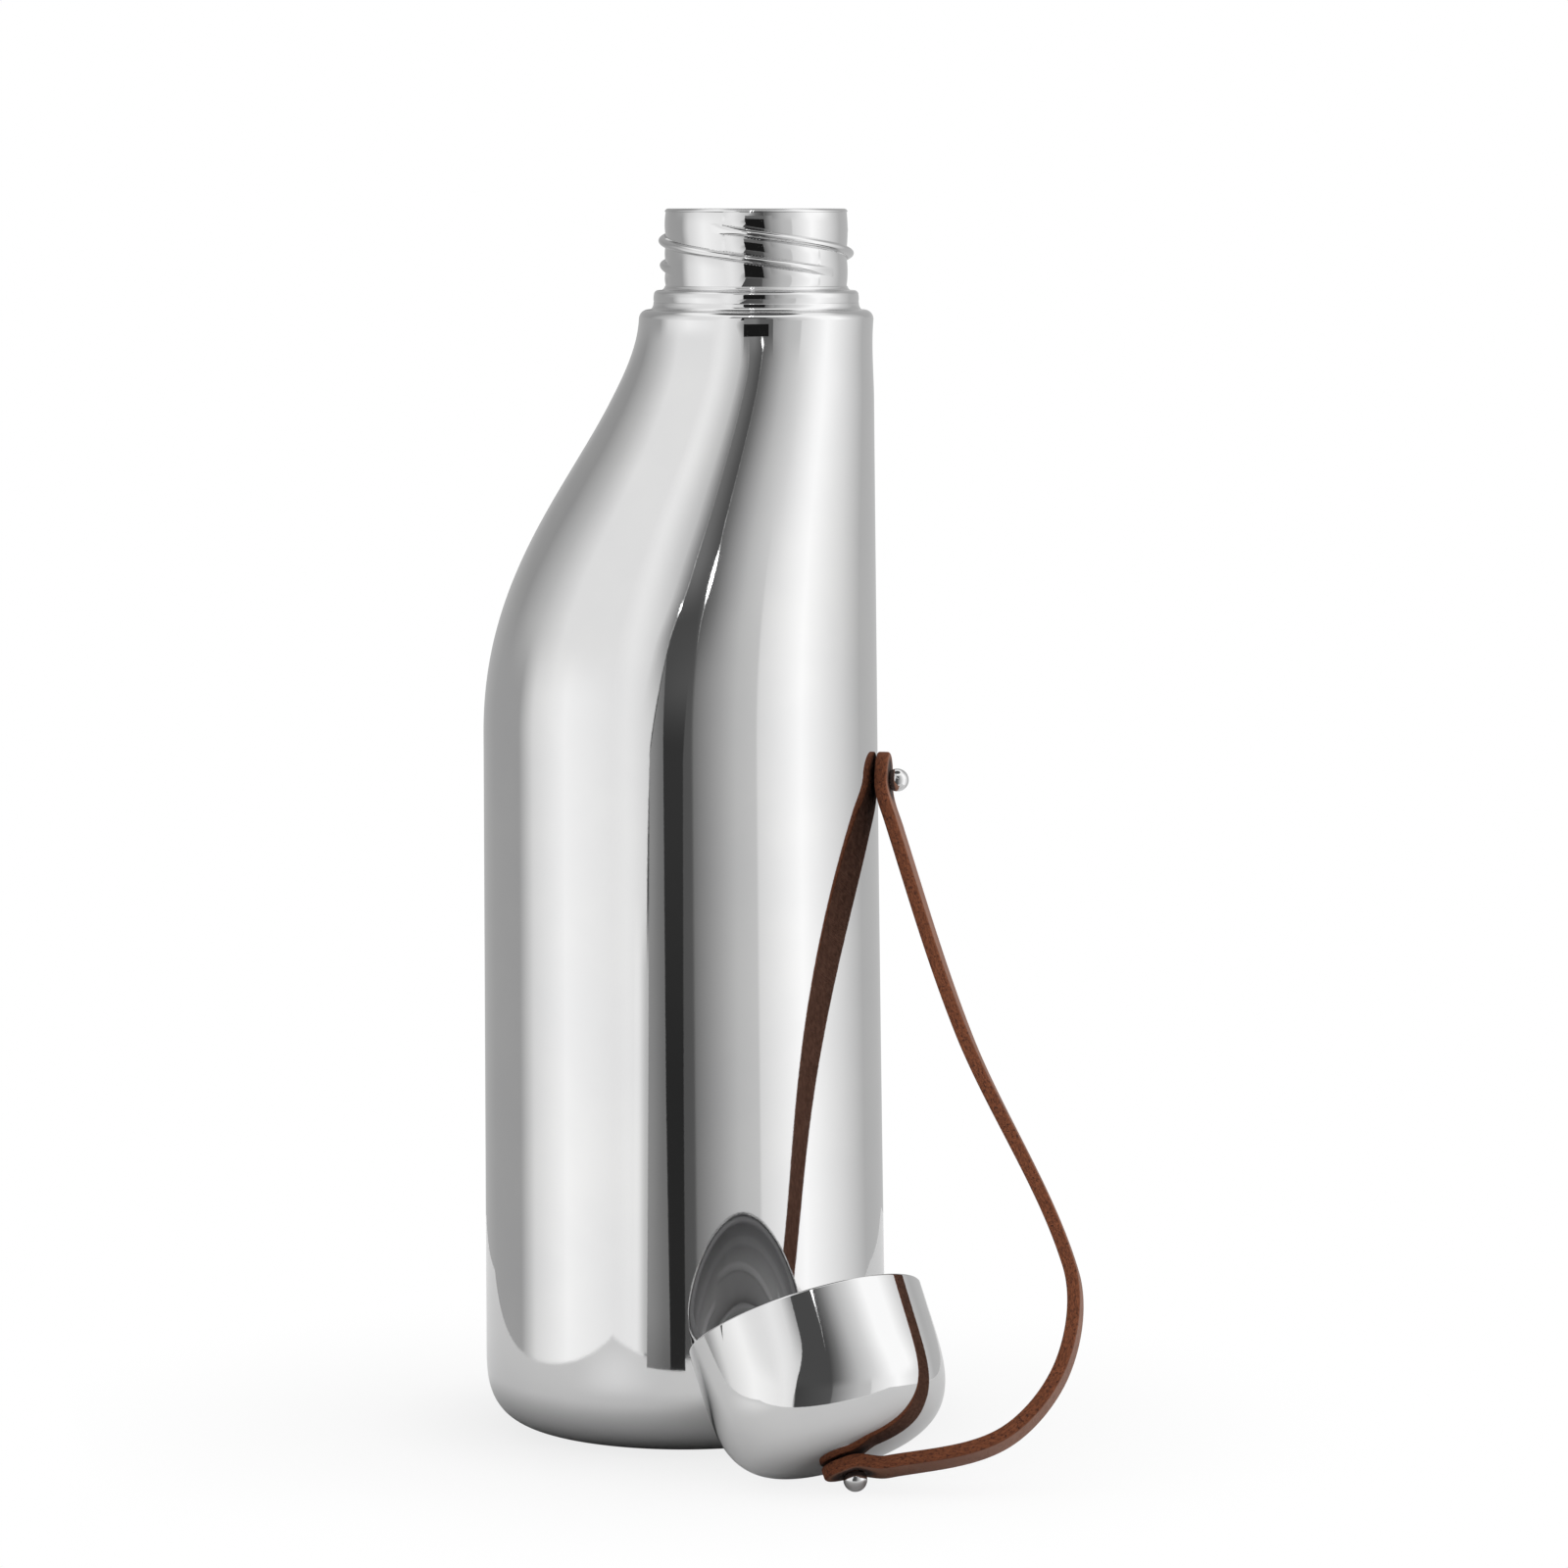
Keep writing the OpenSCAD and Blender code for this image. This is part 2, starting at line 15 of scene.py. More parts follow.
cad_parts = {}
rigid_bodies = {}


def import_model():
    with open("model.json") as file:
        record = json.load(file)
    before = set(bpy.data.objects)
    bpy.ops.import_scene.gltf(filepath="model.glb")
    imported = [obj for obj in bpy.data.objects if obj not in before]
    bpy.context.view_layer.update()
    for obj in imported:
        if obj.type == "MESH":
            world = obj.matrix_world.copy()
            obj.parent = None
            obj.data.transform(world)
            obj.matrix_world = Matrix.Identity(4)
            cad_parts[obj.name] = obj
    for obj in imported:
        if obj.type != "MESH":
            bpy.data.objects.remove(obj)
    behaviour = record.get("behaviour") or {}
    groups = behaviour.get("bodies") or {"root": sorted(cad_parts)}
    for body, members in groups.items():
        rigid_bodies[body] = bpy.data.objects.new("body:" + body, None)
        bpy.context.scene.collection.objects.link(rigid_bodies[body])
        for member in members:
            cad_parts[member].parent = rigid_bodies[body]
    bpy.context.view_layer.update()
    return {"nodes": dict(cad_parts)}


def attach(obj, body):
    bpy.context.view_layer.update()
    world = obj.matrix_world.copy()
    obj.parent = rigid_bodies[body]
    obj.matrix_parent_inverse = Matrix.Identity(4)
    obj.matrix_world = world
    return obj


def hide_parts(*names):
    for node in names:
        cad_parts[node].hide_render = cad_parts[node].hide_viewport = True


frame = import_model()
nodes = frame["nodes"]

# %% [markdown]
# The picture is taken from far away with a long lens, so the bottle hardly tapers. The camera stands
# a little to the right of the bottle's front, nearly level with the lip, and looks slightly down.

# %% Camera
camera_turn = math.radians(8)
camera_dip = math.radians(5.622)
camera = bpy.data.objects.new("camera", bpy.data.cameras.new("camera"))
camera.data.lens = 135.313
camera.data.sensor_width = 36
camera.data.clip_start = 0.05
camera.location = (0.16376, -1.03730, 0.21882)
camera.rotation_euler = (math.pi / 2 - camera_dip, 0, camera_turn)
bpy.context.scene.collection.objects.link(camera)
bpy.context.scene.camera = camera
bpy.context.scene.view_settings.view_transform = "Standard"
print("camera at", tuple(round(v, 3) for v in camera.location))

# %% [markdown]
# A finish is a small network of shader nodes. Writing it as sums and products is shorter to read than
# adding nodes one by one, so one class wraps a socket and turns each operator into a Math node.


# %% Shader arithmetic
class Val:
    """A shader value in one finish. Operators add Math nodes, and add() or take() any other node."""

    def __init__(self, tree, socket):
        self.tree, self.socket = tree, socket

    def add(self, kind, settings=None, **inputs):
        node = self.tree.nodes.new("ShaderNode" + kind)
        for key, value in (settings or {}).items():
            if key == "stops":
                ramp = node.color_ramp
                while len(ramp.elements) < len(value):
                    ramp.elements.new(1)
                for element, (place, grey) in zip(ramp.elements, value):
                    element.position = place
                    element.color = (grey, grey, grey, 1)
            else:
                setattr(node, key, value)
        for key, value in inputs.items():
            place = int(key[1:]) if key[0] == "i" and key[1:].isdigit() else key.replace("_", " ")
            self.feed(node.inputs[place], value)
        return node

    def feed(self, socket, value):
        if isinstance(value, Val):
            value = value.socket
        if isinstance(value, bpy.types.NodeSocket):
            self.tree.links.new(value, socket)
        else:
            socket.default_value = value

    def take(self, kind, output, settings=None, **inputs):
        return Val(self.tree, self.add(kind, settings, **inputs).outputs[output])

    def math(self, operation, *values):
        return self.take("Math", 0, {"operation": operation}, **{f"i{k}": v for k, v in enumerate(values)})

    def __add__(self, other):
        return self.math("ADD", self, other)

    def __radd__(self, other):
        return self.math("ADD", other, self)

    def __sub__(self, other):
        return self.math("SUBTRACT", self, other)

    def __rsub__(self, other):
        return self.math("SUBTRACT", other, self)

    def __mul__(self, other):
        return self.math("MULTIPLY", self, other)

    def __rmul__(self, other):
        return self.math("MULTIPLY", other, self)

    def __truediv__(self, other):
        return self.math("DIVIDE", self, other)

    def ease(self, low, high, out_low=0.0, out_high=1.0):
        return self.take("MapRange", "Result", {"interpolation_type": "SMOOTHSTEP"},
                         Value=self, From_Min=low, From_Max=high, To_Min=out_low, To_Max=out_high)

    def blend_with(self, low, high):
        """A colour from low, where this value is 0, to high, where it is 1."""
        return self.take("Mix", "Result", {"data_type": "RGBA"}, i0=self,
                         i6=low if isinstance(low, Val) else (*low, 1),
                         i7=high if isinstance(high, Val) else (*high, 1))


def finish_named(name):
    """A new material with its Principled shader, and a Val to start its network from."""
    material = bpy.data.materials.new(name)
    material.use_nodes = True
    shader = material.node_tree.nodes["Principled BSDF"]
    return material, shader, Val(material.node_tree, None)


def noise(net, place, scale, detail, roughness=0.5):
    return net.take("TexNoise", "Fac", Vector=place, Scale=scale, Detail=detail, Roughness=roughness)


def relief(net, shader, height):
    """Feeds a height in metres to the shader, as relief too small to model."""
    net.feed(shader.inputs["Normal"], net.take("Bump", 0, Strength=1.0, Distance=1.0, Height=height))


print("shader arithmetic ready")

# %% [markdown]
# Nearly every piece of a bottle is a skin through rings: a spun or drawn shell, a lathe-turned stud,
# a strip of leather. One helper takes the rings as an array and makes smooth faces between them. A
# looped skin closes on itself, so a thin wall gets its thickness from its own inner rings.


# %% Rings to a mesh
def make_piece(name, verts, faces, finish, body, stands_for=(), sharp=40):
    """A smooth mesh object from millimetre points, riding on a body of the bottle."""
    mesh = bpy.data.meshes.new(name)
    mesh.from_pydata((np.asarray(verts) * 0.001).tolist(), [], faces)
    shape = bmesh.new()
    shape.from_mesh(mesh)
    bmesh.ops.remove_doubles(shape, verts=shape.verts, dist=1e-7)
    bmesh.ops.recalc_face_normals(shape, faces=shape.faces)
    shape.to_mesh(mesh)
    shape.free()
    mesh.polygons.foreach_set("use_smooth", [True] * len(mesh.polygons))
    mesh.set_sharp_from_angle(angle=math.radians(sharp))
    piece = bpy.data.objects.new(name, mesh)
    bpy.context.scene.collection.objects.link(piece)
    if finish:
        mesh.materials.append(finish)
    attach(piece, body)
    if stands_for:
        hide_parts(*stands_for)
    return piece


def ring_faces(count, around, looped):
    """Quads between neighbouring rings of equal length."""
    here = np.arange(count if looped else count - 1)[:, None] * around + np.arange(around)[None, :]
    beside = np.roll(here, -1, axis=1)
    above = (here + around) % (count * around)
    return np.stack([here, beside, np.roll(above, -1, axis=1), above], -1).reshape(-1, 4).tolist()


def skin(name, rings, finish, body, stands_for=(), looped=False, sharp=40):
    rings = np.asarray(rings, float)
    count, around = rings.shape[:2]
    faces = ring_faces(count, around, looped)
    if not looped:
        faces += [list(range(around)), list(range((count - 1) * around, count * around))]
    return make_piece(name, rings.reshape(-1, 3), faces, finish, body, stands_for, sharp)


def full_turn(count):
    return np.linspace(0, 2 * math.pi, count, endpoint=False)


def circles(x, r, z, turn):
    """Rings of points round an upright axis at x, with their radii and heights."""
    return np.stack([x + r * np.cos(turn), r * np.sin(turn), z + 0 * turn], -1)


def spin(outline, around, place=lambda p: p):
    """Rings of an outline of [radius, height] points spun round the Z axis, then placed."""
    outline = np.asarray(outline, float)
    return place(circles(0, outline[:, :1], outline[:, 1:2], full_turn(around)))


def arc(x, y, r, start, end, steps=10):
    a = np.radians(np.linspace(start, end, steps + 1))
    return np.stack([x + r * np.cos(a), y + r * np.sin(a)], -1)


print("ring helpers ready")

# %% [markdown]
# Mirror-polished stainless steel is a pure metal reflection, so nearly all of its look is what it
# reflects. What tells it from a perfect mirror is small: a faint haze from the last polishing wheel,
# a few softer patches where it was handled, and a very shallow ripple in the drawn sheet.


# %% Mirror steel
def mirror_steel(name, ripple_size, ripple, haze=0.035):
    material, shader, net = finish_named(name)
    place = net.take("TexCoord", "Object")
    streak = net.take("Mapping", 0, Vector=place, Scale=(260.0, 260.0, 2200.0))
    wheel = noise(net, streak, 1.0, detail=3)
    patches = noise(net, place, 38, detail=3, roughness=0.6)
    grain = noise(net, place, 5200, detail=1)
    shader.inputs["Metallic"].default_value = 1
    clean, handled = (0.700, 0.700, 0.702), (0.725, 0.724, 0.722)
    net.feed(shader.inputs["Base Color"], patches.ease(0.35, 0.7).blend_with(clean, handled))
    rough = haze + patches.ease(0.45, 0.75) * 0.02 + wheel.ease(0.5, 0.8) * 0.012
    net.feed(shader.inputs["Roughness"], rough)
    dents = noise(net, place, 1 / ripple_size, detail=1)
    grain_h, wheel_h = 0.0000008, 0.0000004
    relief(net, shader, dents * ripple + grain * grain_h + wheel * wheel_h)
    return material


body_steel = mirror_steel("mirror_steel_body", ripple_size=0.05, ripple=0.00002)
cap_steel = mirror_steel("mirror_steel_cap", ripple_size=0.016, ripple=0.000022)
neck_steel = mirror_steel("mirror_steel_neck", ripple_size=0.01, ripple=0.000004, haze=0.03)
print("mirror finishes:", body_steel.name, cap_steel.name, neck_steel.name)

# %% [markdown]
# The body is a stack of circles that shift sideways. One side leans in by a couple of millimetres
# from foot to shoulder. The other stands upright, then follows a curve that swells and draws in to
# the neck. Each circle spans from the curved side to the straight side at its height.

# %% Form of the body
body_r = 35.9
foot_r, corner_h, corner_w, corner_fullness = 22.5, 13.6, 13.4, 2.9
lean_z, swell_z, shoulder_z, shoulder_round, shoulder_r, neck_x = 25.6, 125.0, 200.2, 1.7, 20.8, 13.0
edge_z = shoulder_z - shoulder_round
waist_z, waist_depth = 184.0, 0.2
shell_t, lean_bow, neck_hole_r, body_around = 0.6, 0.8, 18.0, 224
curve_knots = np.array([
    [-body_r, swell_z],
    [-body_r, swell_z + 35],
    [neck_x - shoulder_r - 3.3, edge_z - 22],
    [neck_x - shoulder_r, edge_z],
])


def straight_side(z):
    u = np.clip((z - lean_z) / (edge_z - lean_z), 0, 1)
    return body_r + (neck_x + shoulder_r - body_r) * u - lean_bow * u * (1 - u)


def curved_side(t):
    weights = [(1 - t) ** 3, 3 * (1 - t) ** 2 * t, 3 * (1 - t) * t ** 2, t ** 3]
    return sum(w * k for w, k in zip(weights, curve_knots))


def waist(z):
    """The last turn of the spinning roller draws the shell in a little, just under the shoulder edge."""
    t = np.clip((z - waist_z) / (edge_z - waist_z), 0, 1)
    to_one = 27 / 4  # t * t * (1 - t) is 4/27 at its highest
    return waist_depth * to_one * t * t * (1 - t)


def body_levels(inset, corner_steps, straight_steps, swell_steps, edge_steps):
    """Levels of [height, centre x, radius] from the foot to the hole that takes the neck."""
    levels = []
    for a in np.linspace(0, math.pi / 2, corner_steps + 1):
        z = inset + (corner_h - inset) * (1 - math.cos(a) ** (2 / corner_fullness))
        levels.append([z, 0, foot_r + (corner_w - inset) * math.sin(a) ** (2 / corner_fullness)])
    for z in np.linspace(corner_h, swell_z, straight_steps + 1)[1:]:
        x = straight_side(z)
        levels.append([z, (x - body_r) / 2, (x + body_r) / 2 - inset])
    for t in np.linspace(0, 1, swell_steps + 1)[1:]:
        left, z = curved_side(t)
        x = straight_side(z)
        levels.append([z, (x + left) / 2, (x - left) / 2 - inset - waist(z)])
    for a in np.linspace(0, math.pi / 2, edge_steps + 1)[1:]:
        r = shoulder_round - inset
        levels.append([edge_z + r * math.sin(a), neck_x, shoulder_r - shoulder_round + r * math.cos(a)])
    levels.append([shoulder_z - inset, neck_x, neck_hole_r])
    return np.array(levels)


def level_rings(levels, around):
    return circles(levels[:, 1:2], levels[:, 2:3], levels[:, :1], full_turn(around))


outside = level_rings(body_levels(0, 36, 60, 90, 14), body_around)
inside = level_rings(body_levels(shell_t, 10, 12, 30, 3), body_around)[::-1]
shell = skin("outer_body", np.concatenate([outside, inside]), body_steel, "bottle",
             ["outer_shell"], looped=True, sharp=50)
print("outer body:", len(shell.data.polygons), "faces")

# %% [markdown]
# The neck ring is rolled from thin tube: a plain collar, a fillet, and a wall whose thread is pushed
# out from within, so its ridges have soft flanks and fade out at both ends. The ridges are heights
# added to a spun wall. Between them the tube is slightly crowned, which breaks its reflections up.

# %% Neck ring with its rolled thread
neck_r, neck_bore_r, lip_z, lip_round = 16.2, 15.5, 218.0, 0.65
collar_r, collar_z, collar_round, collar_crown = 18.2, 203.6, 0.8, 0.06
fillet_w, fillet_h, collar_side_z = 0.7, 1.25, shoulder_z + 1.3
skirt_in, skirt_out, skirt_z, step_r, step_z = 17.25, 17.95, 198.8, 17.5, 202.7
wall_low, wall_high = collar_z + collar_round, lip_z - lip_round
thread_starts, thread_lead, thread_from, thread_to = 3, 13.6, -109.5, 206.0
ridge_h, ridge_w, thread_top, crown = 1.1, 1.6, lip_z - 3.45, 0.17
lead_in, fade_in, fade_out = 2, 26, 42


def ridge_lift(turn, z):
    """How far the ridges push the wall out, and the height of the plain wall they leave between them."""
    lift = np.zeros(np.broadcast(turn, z).shape)
    above = np.full(lift.shape, wall_high)
    below = np.full(lift.shape, wall_low)
    for start in range(thread_starts):
        run = np.mod(np.degrees(turn) - thread_from - 360 * start / thread_starts, 360)
        run = np.where(run > 330, run - 360, run)
        grown = np.clip((run + lead_in) / fade_in, 0, 1) * np.clip((thread_to - run) / fade_out, 0, 1)
        fade = grown * grown * (3 - 2 * grown)
        middle = thread_top - thread_lead * run / 360
        u = np.abs(z - middle) / (ridge_w / 2)
        lift = np.maximum(lift, ridge_h * fade * np.clip(1 - u * u, 0, 1) ** 0.6)
        edge_up, edge_down = middle + ridge_w / 2, middle - ridge_w / 2
        strong = fade > 0.3
        above = np.where(strong & (edge_down > z) & (edge_down < above), edge_down, above)
        below = np.where(strong & (edge_up < z) & (edge_up > below), edge_up, below)
    place = np.clip((z - below) / np.maximum(above - below, 0.4) * 2 - 1, -1, 1)
    return np.where(lift > 0.005, lift, -crown * place ** 2)


wall_z = np.linspace(wall_low, wall_high, 176)
collar_side = np.stack([collar_r - collar_crown * np.linspace(-1, 1, 9) ** 2,
                        np.linspace(collar_side_z, collar_z - collar_round, 9)], -1)[:-1]
outline = np.concatenate([
    [[skirt_in, skirt_z], [skirt_out, skirt_z], [skirt_out, shoulder_z]],
    arc(0, 0, 1, 270, 180, 8) * [fillet_w, fillet_h] + [collar_r + fillet_w, shoulder_z + fillet_h],
    collar_side,
    arc(collar_r - collar_crown - collar_round, collar_z - collar_round, collar_round, 0, 90, 10),
    arc(neck_r + collar_round, wall_low, collar_round, 270, 180, 10)[:-1],
    np.stack([np.full(len(wall_z), neck_r), wall_z], -1),
    arc(neck_r - lip_round, wall_high, lip_round, 0, 90, 10)[1:],
    [[neck_bore_r, lip_z], [neck_bore_r, step_z], [step_r, step_z]],
    [[step_r, shoulder_z], [skirt_in, shoulder_z]],
])
turn = full_turn(360)[None, :]
r, z = outline[:, :1] + 0 * turn, outline[:, 1:2] + 0 * turn
on_wall = (np.abs(outline[:, :1] - neck_r) < 1e-9) & (outline[:, 1:2] > collar_z + 0.5)
r = r + np.where(on_wall, ridge_lift(turn, z), 0)
neck_ring = skin("neck_ring", circles(neck_x, r, z, turn), neck_steel, "bottle",
                 ["threaded_neck"], looped=True, sharp=50)
print("neck ring:", len(neck_ring.data.polygons), "faces")

# %% [markdown]
# The inner vessel is drawn from thinner sheet and left plain. Its tube lines the neck up to the lip,
# where both are welded and polished together. It is seen only through the mouth.


# %% Plain steel
def plain_steel(name):
    material, shader, net = finish_named(name)
    place = net.take("TexCoord", "Object")
    drawn = noise(net, net.take("Mapping", 0, Vector=place, Scale=(900.0, 900.0, 40.0)), 1.0, detail=4)
    cloud = noise(net, place, 60, detail=3)
    shader.inputs["Metallic"].default_value = 1
    net.feed(shader.inputs["Base Color"], cloud.blend_with((0.52, 0.52, 0.525), (0.64, 0.635, 0.63)))
    net.feed(shader.inputs["Roughness"], 0.2 + drawn.ease(0.3, 0.8) * 0.16)
    relief(net, shader, drawn * 0.000006)
    return material


inner_steel = plain_steel("plain_steel")
vessel_inset, vessel_t, draw_z, tube_z, tube_r = 4.1, 0.5, 185.5, 196.5, 15.45
liner = body_levels(vessel_inset, 10, 10, 60, 3)
liner = liner[(liner[:, 0] > lean_z + 0.01) & (liner[:, 0] < draw_z)]
liner = np.concatenate([[[lean_z, 0.0, body_r - vessel_inset]], liner])
draw_in = np.linspace(0, 1, 18)[1:, None]
last, tube = liner[-1], np.array([tube_z, neck_x, tube_r])
ease_in = draw_in ** 2 * (3 - 2 * draw_in)
throat = np.concatenate([last[0] + (tube[0] - last[0]) * draw_in,
                         last[1] + (tube[1] - last[1]) * (1 - (1 - draw_in) ** 2),
                         last[2] + (tube[2] - last[2]) * (0.6 * draw_in + 0.4 * ease_in)], -1)
liner = np.concatenate([liner, throat, [[lip_z, neck_x, tube_r]]])
liner_in = liner - [0, 0, vessel_t]
vessel_rings = np.concatenate([level_rings(liner, 128), level_rings(liner_in, 128)[::-1]])
inner_vessel = skin("inner_vessel", vessel_rings, inner_steel, "bottle", ["inner_body"],
                    looped=True)
cup_r, corner, floor_z = 31.8, 10.0, 10.0
cup = np.concatenate([
    [[0.0, floor_z]],
    arc(cup_r - corner, floor_z + corner, corner, 270, 360, 14),
    [[cup_r, lean_z], [cup_r - vessel_t, lean_z]],
    arc(cup_r - corner, floor_z + corner, corner - vessel_t, 360, 270, 14),
    [[0.0, floor_z + vessel_t]]])
inner_cup = skin("inner_cup", spin(cup, 128), inner_steel, "bottle", ["inner_base"], sharp=30)
print("inner vessel:", len(inner_vessel.data.polygons) + len(inner_cup.data.polygons), "faces")

# %% [markdown]
# The bottom cover is a pressed disc with a rolled ring that the bottle stands on. It is spun here
# with a small radius at every bend, because pressed sheet never has a sharp corner.

# %% Bottom cover
ring_out, ring_in, bend = foot_r - 0.05, foot_r - 2.05, 0.5
pan_low, pan_high, bead_z = 1.6, 2.1, 1.35
flange_r, flange_low, flange_high = 25.45, 0.8, 1.3
cover = np.concatenate([
    [[0.0, pan_low], [8.0, pan_low], [8.6, bead_z], [14.0, bead_z], [14.6, pan_low]],
    arc(ring_in - 1.2, pan_low - bend, bend, 90, 40, 5),
    arc(ring_in + bend, bend, bend, 215, 270, 5),
    arc(ring_out - bend, bend, bend, 270, 360, 6),
    [[ring_out, flange_low], [flange_r, flange_low], [flange_r, flange_high], [ring_out - 0.8, flange_high]],
    [[ring_in - 0.8, pan_high], [0.0, pan_high]],
])
bottom = skin("bottom_cover", spin(cover, 160), body_steel, "bottle", ["base_cup"],
              sharp=50)
print("bottom cover:", len(bottom.data.polygons), "faces")

# %% [markdown]
# The cap is a deep drawn dome between a ball and a box: its side stays straight for a quarter of its
# height, and its top is nearly flat at the pole. A power curve gives that in one line. The cap lies
# upside down and tilted, so its outline is made upright and then carried to its place.

# %% Cap shell
cap_r, cap_h, cap_wall_h, cap_fullness = 20.8, 25.8, 6.0, 3.5
cap_t, cap_edge_z, stud_hole_r = 0.6, 0.35, 1.53
cap_origin = np.array([28.1236, -46.8056, 28.1823])
to_cap = np.array(Matrix.Rotation(math.radians(-45), 3, "Z") @ Matrix.Rotation(math.radians(151), 3, "Y"))
cap_axis = to_cap @ np.array([0, 0, 1])


def in_cap(points):
    """Points given in the upright frame of the cap, rim at 0 and pole up, carried to where it lies."""
    return points @ to_cap.T + cap_origin


def dome(r, h, steps):
    """Radius and height from the rim to the pole, at even steps along the curve."""
    a = np.linspace(0, math.pi / 2, 4001)
    curve = np.stack([r * np.cos(a) ** (2 / cap_fullness),
                      cap_wall_h + (h - cap_wall_h) * np.sin(a) ** (2 / cap_fullness)], -1)
    curve = np.concatenate([[[r, cap_edge_z], [r, cap_wall_h * 0.5]], curve])
    along = np.concatenate([[0], np.cumsum(np.linalg.norm(np.diff(curve, axis=0), axis=1))])
    even = np.linspace(0, along[-1], steps)
    return np.stack([np.interp(even, along, curve[:, 0]), np.interp(even, along, curve[:, 1])], -1)


outer_dome, inner_dome = dome(cap_r, cap_h, 110), dome(cap_r - cap_t, cap_h - cap_t, 40)
outer_dome, inner_dome = (curve[curve[:, 0] > stud_hole_r] for curve in (outer_dome, inner_dome))
cap_outline = np.concatenate([
    outer_dome, [[stud_hole_r, cap_h], [stud_hole_r, cap_h - cap_t]], inner_dome[::-1],
    arc(cap_r - cap_t / 2, cap_t / 2, cap_t / 2, 180, 360, 8)])
cap_dome = skin("cap_dome", spin(cap_outline, 256, in_cap), cap_steel, "cap", ["cap_shell"],
                looped=True, sharp=60)
print("cap dome:", len(cap_dome.data.polygons), "faces")

# %% [markdown]
# Inside the cap sits a moulded insert in dark grey plastic. Its mouth slides over the collar, its
# thread meets the rolled thread of the neck, and its roof carries the gasket. It is made like the neck
# ring, with the ridges taken off the radius instead of added. Its colour is painted lighter towards
# the roof, as painted light against the shade deep in the cap.


# %% Plastic, silicone and foam
def moulded(name, low, high, rough, bump_size, bump):
    """A matt moulded finish, its low colour at the cap's mouth painted lighter up to its high one at the
    roof, as painted light against the shade deep in the cap.
    """
    material, shader, net = finish_named(name)
    place = net.take("TexCoord", "Object")
    cloud = noise(net, place, 90, detail=3)
    grain = noise(net, place, 1 / bump_size, detail=3, roughness=0.65)
    # Painted light: the colour grows lighter with depth into the cap, against the shade there.
    painted_light_depth = net.take("VectorMath", "Value", {"operation": "DOT_PRODUCT"}, i0=place, i1=tuple(cap_axis))
    painted_light_depth = (painted_light_depth - float(cap_origin @ cap_axis) / 1000).ease(0.0005, 0.012)
    net.feed(shader.inputs["Base Color"], (painted_light_depth * 0.9 + cloud * 0.1).blend_with(low, high))
    net.feed(shader.inputs["Roughness"], rough + (grain - 0.5) * 0.2)
    relief(net, shader, grain * bump)
    return material


insert_plastic = moulded("insert_plastic", (0.17, 0.17, 0.174), (0.60, 0.60, 0.605), 0.7, 0.0004, 0.00003)
gasket_silicone = moulded("gasket_silicone", (0.50, 0.50, 0.505), (0.60, 0.60, 0.605), 0.7, 0.0006, 0.00002)
foam_finish = moulded("foam", (0.70, 0.67, 0.60), (0.80, 0.77, 0.70), 0.9, 0.0005, 0.0003)

bore_r, mouth_r, roof_z, mouth_h, insert_top, dome_gap = 17.6, 18.5, 19.2, 3.8, 20.6, 0.06
inner_ridge_h, inner_ridge_half, inner_ridge_top, inner_ridge_run, inner_fade = 0.8, 1.15, 12.533, 114, 18
bore_z = np.linspace(mouth_h + 1.3, roof_z - 0.5, 96)
under_dome = inner_dome[inner_dome[:, 1] < insert_top - 0.2] - [dome_gap, 0]
insert_outline = np.concatenate([
    [[0.0, roof_z]], [[bore_r - 0.5, roof_z]],
    np.stack([np.full(len(bore_z), bore_r), bore_z[::-1]], -1),
    [[bore_r + 0.1, mouth_h + 0.9], [mouth_r - 0.12, mouth_h + 0.12], [mouth_r, mouth_h - 0.2]],
    arc(mouth_r + 0.4, 0.9, 0.4, 180, 270, 6),
    arc(cap_r - cap_t - dome_gap - 0.25, 0.75, 0.25, 270, 360, 4),
    under_dome,
    [[16.4, insert_top], [0.0, insert_top]],
])
turn = full_turn(300)[None, :]
r, z = insert_outline[:, :1] + 0 * turn, insert_outline[:, 1:2] + 0 * turn
ridges = np.zeros(r.shape)
for start in range(thread_starts):
    run = np.mod(np.degrees(turn) - 360 * start / thread_starts, 360)
    on = np.clip((run + 4) / inner_fade, 0, 1) * np.clip((inner_ridge_run - run) / inner_fade, 0, 1)
    u = np.abs(z - inner_ridge_top + thread_lead * run / 360) / inner_ridge_half
    flank = np.where(u < 1, np.cos(np.clip(u, 0, 1) * math.pi / 2), 0)
    ridges = np.maximum(ridges, inner_ridge_h * np.sin(on * math.pi / 2) * flank)
r = r - ridges * (np.abs(insert_outline[:, :1] - bore_r) < 1e-9)
insert_rings = in_cap(circles(0, r, z, turn))
insert = skin("threaded_insert", insert_rings, insert_plastic, "cap", ["cap_insert"],
              sharp=50)

gasket_in, gasket_out, gasket_round, gasket_gap, gasket_z = 14.85, 16.7, 0.5, 0.02, roof_z - 1.12
gasket_outline = np.concatenate([
    arc(gasket_in + gasket_round, gasket_z, gasket_round, 180, 270, 5),
    arc(gasket_out - gasket_round, gasket_z, gasket_round, 270, 360, 5),
    [[gasket_out, roof_z - gasket_gap], [gasket_in, roof_z - gasket_gap]]])
gasket = skin("gasket", spin(gasket_outline, 160, in_cap), gasket_silicone, "cap",
              ["cap_gasket"], looped=True)
print("insert and gasket:", len(insert.data.polygons) + len(gasket.data.polygons), "faces")

# %% [markdown]
# Each stud is turned in one piece: a threaded shank inside, a waist that the strap sits round, and a
# ball that holds the strap on. The tool leaves a short slope under the ball and a radius at the foot.

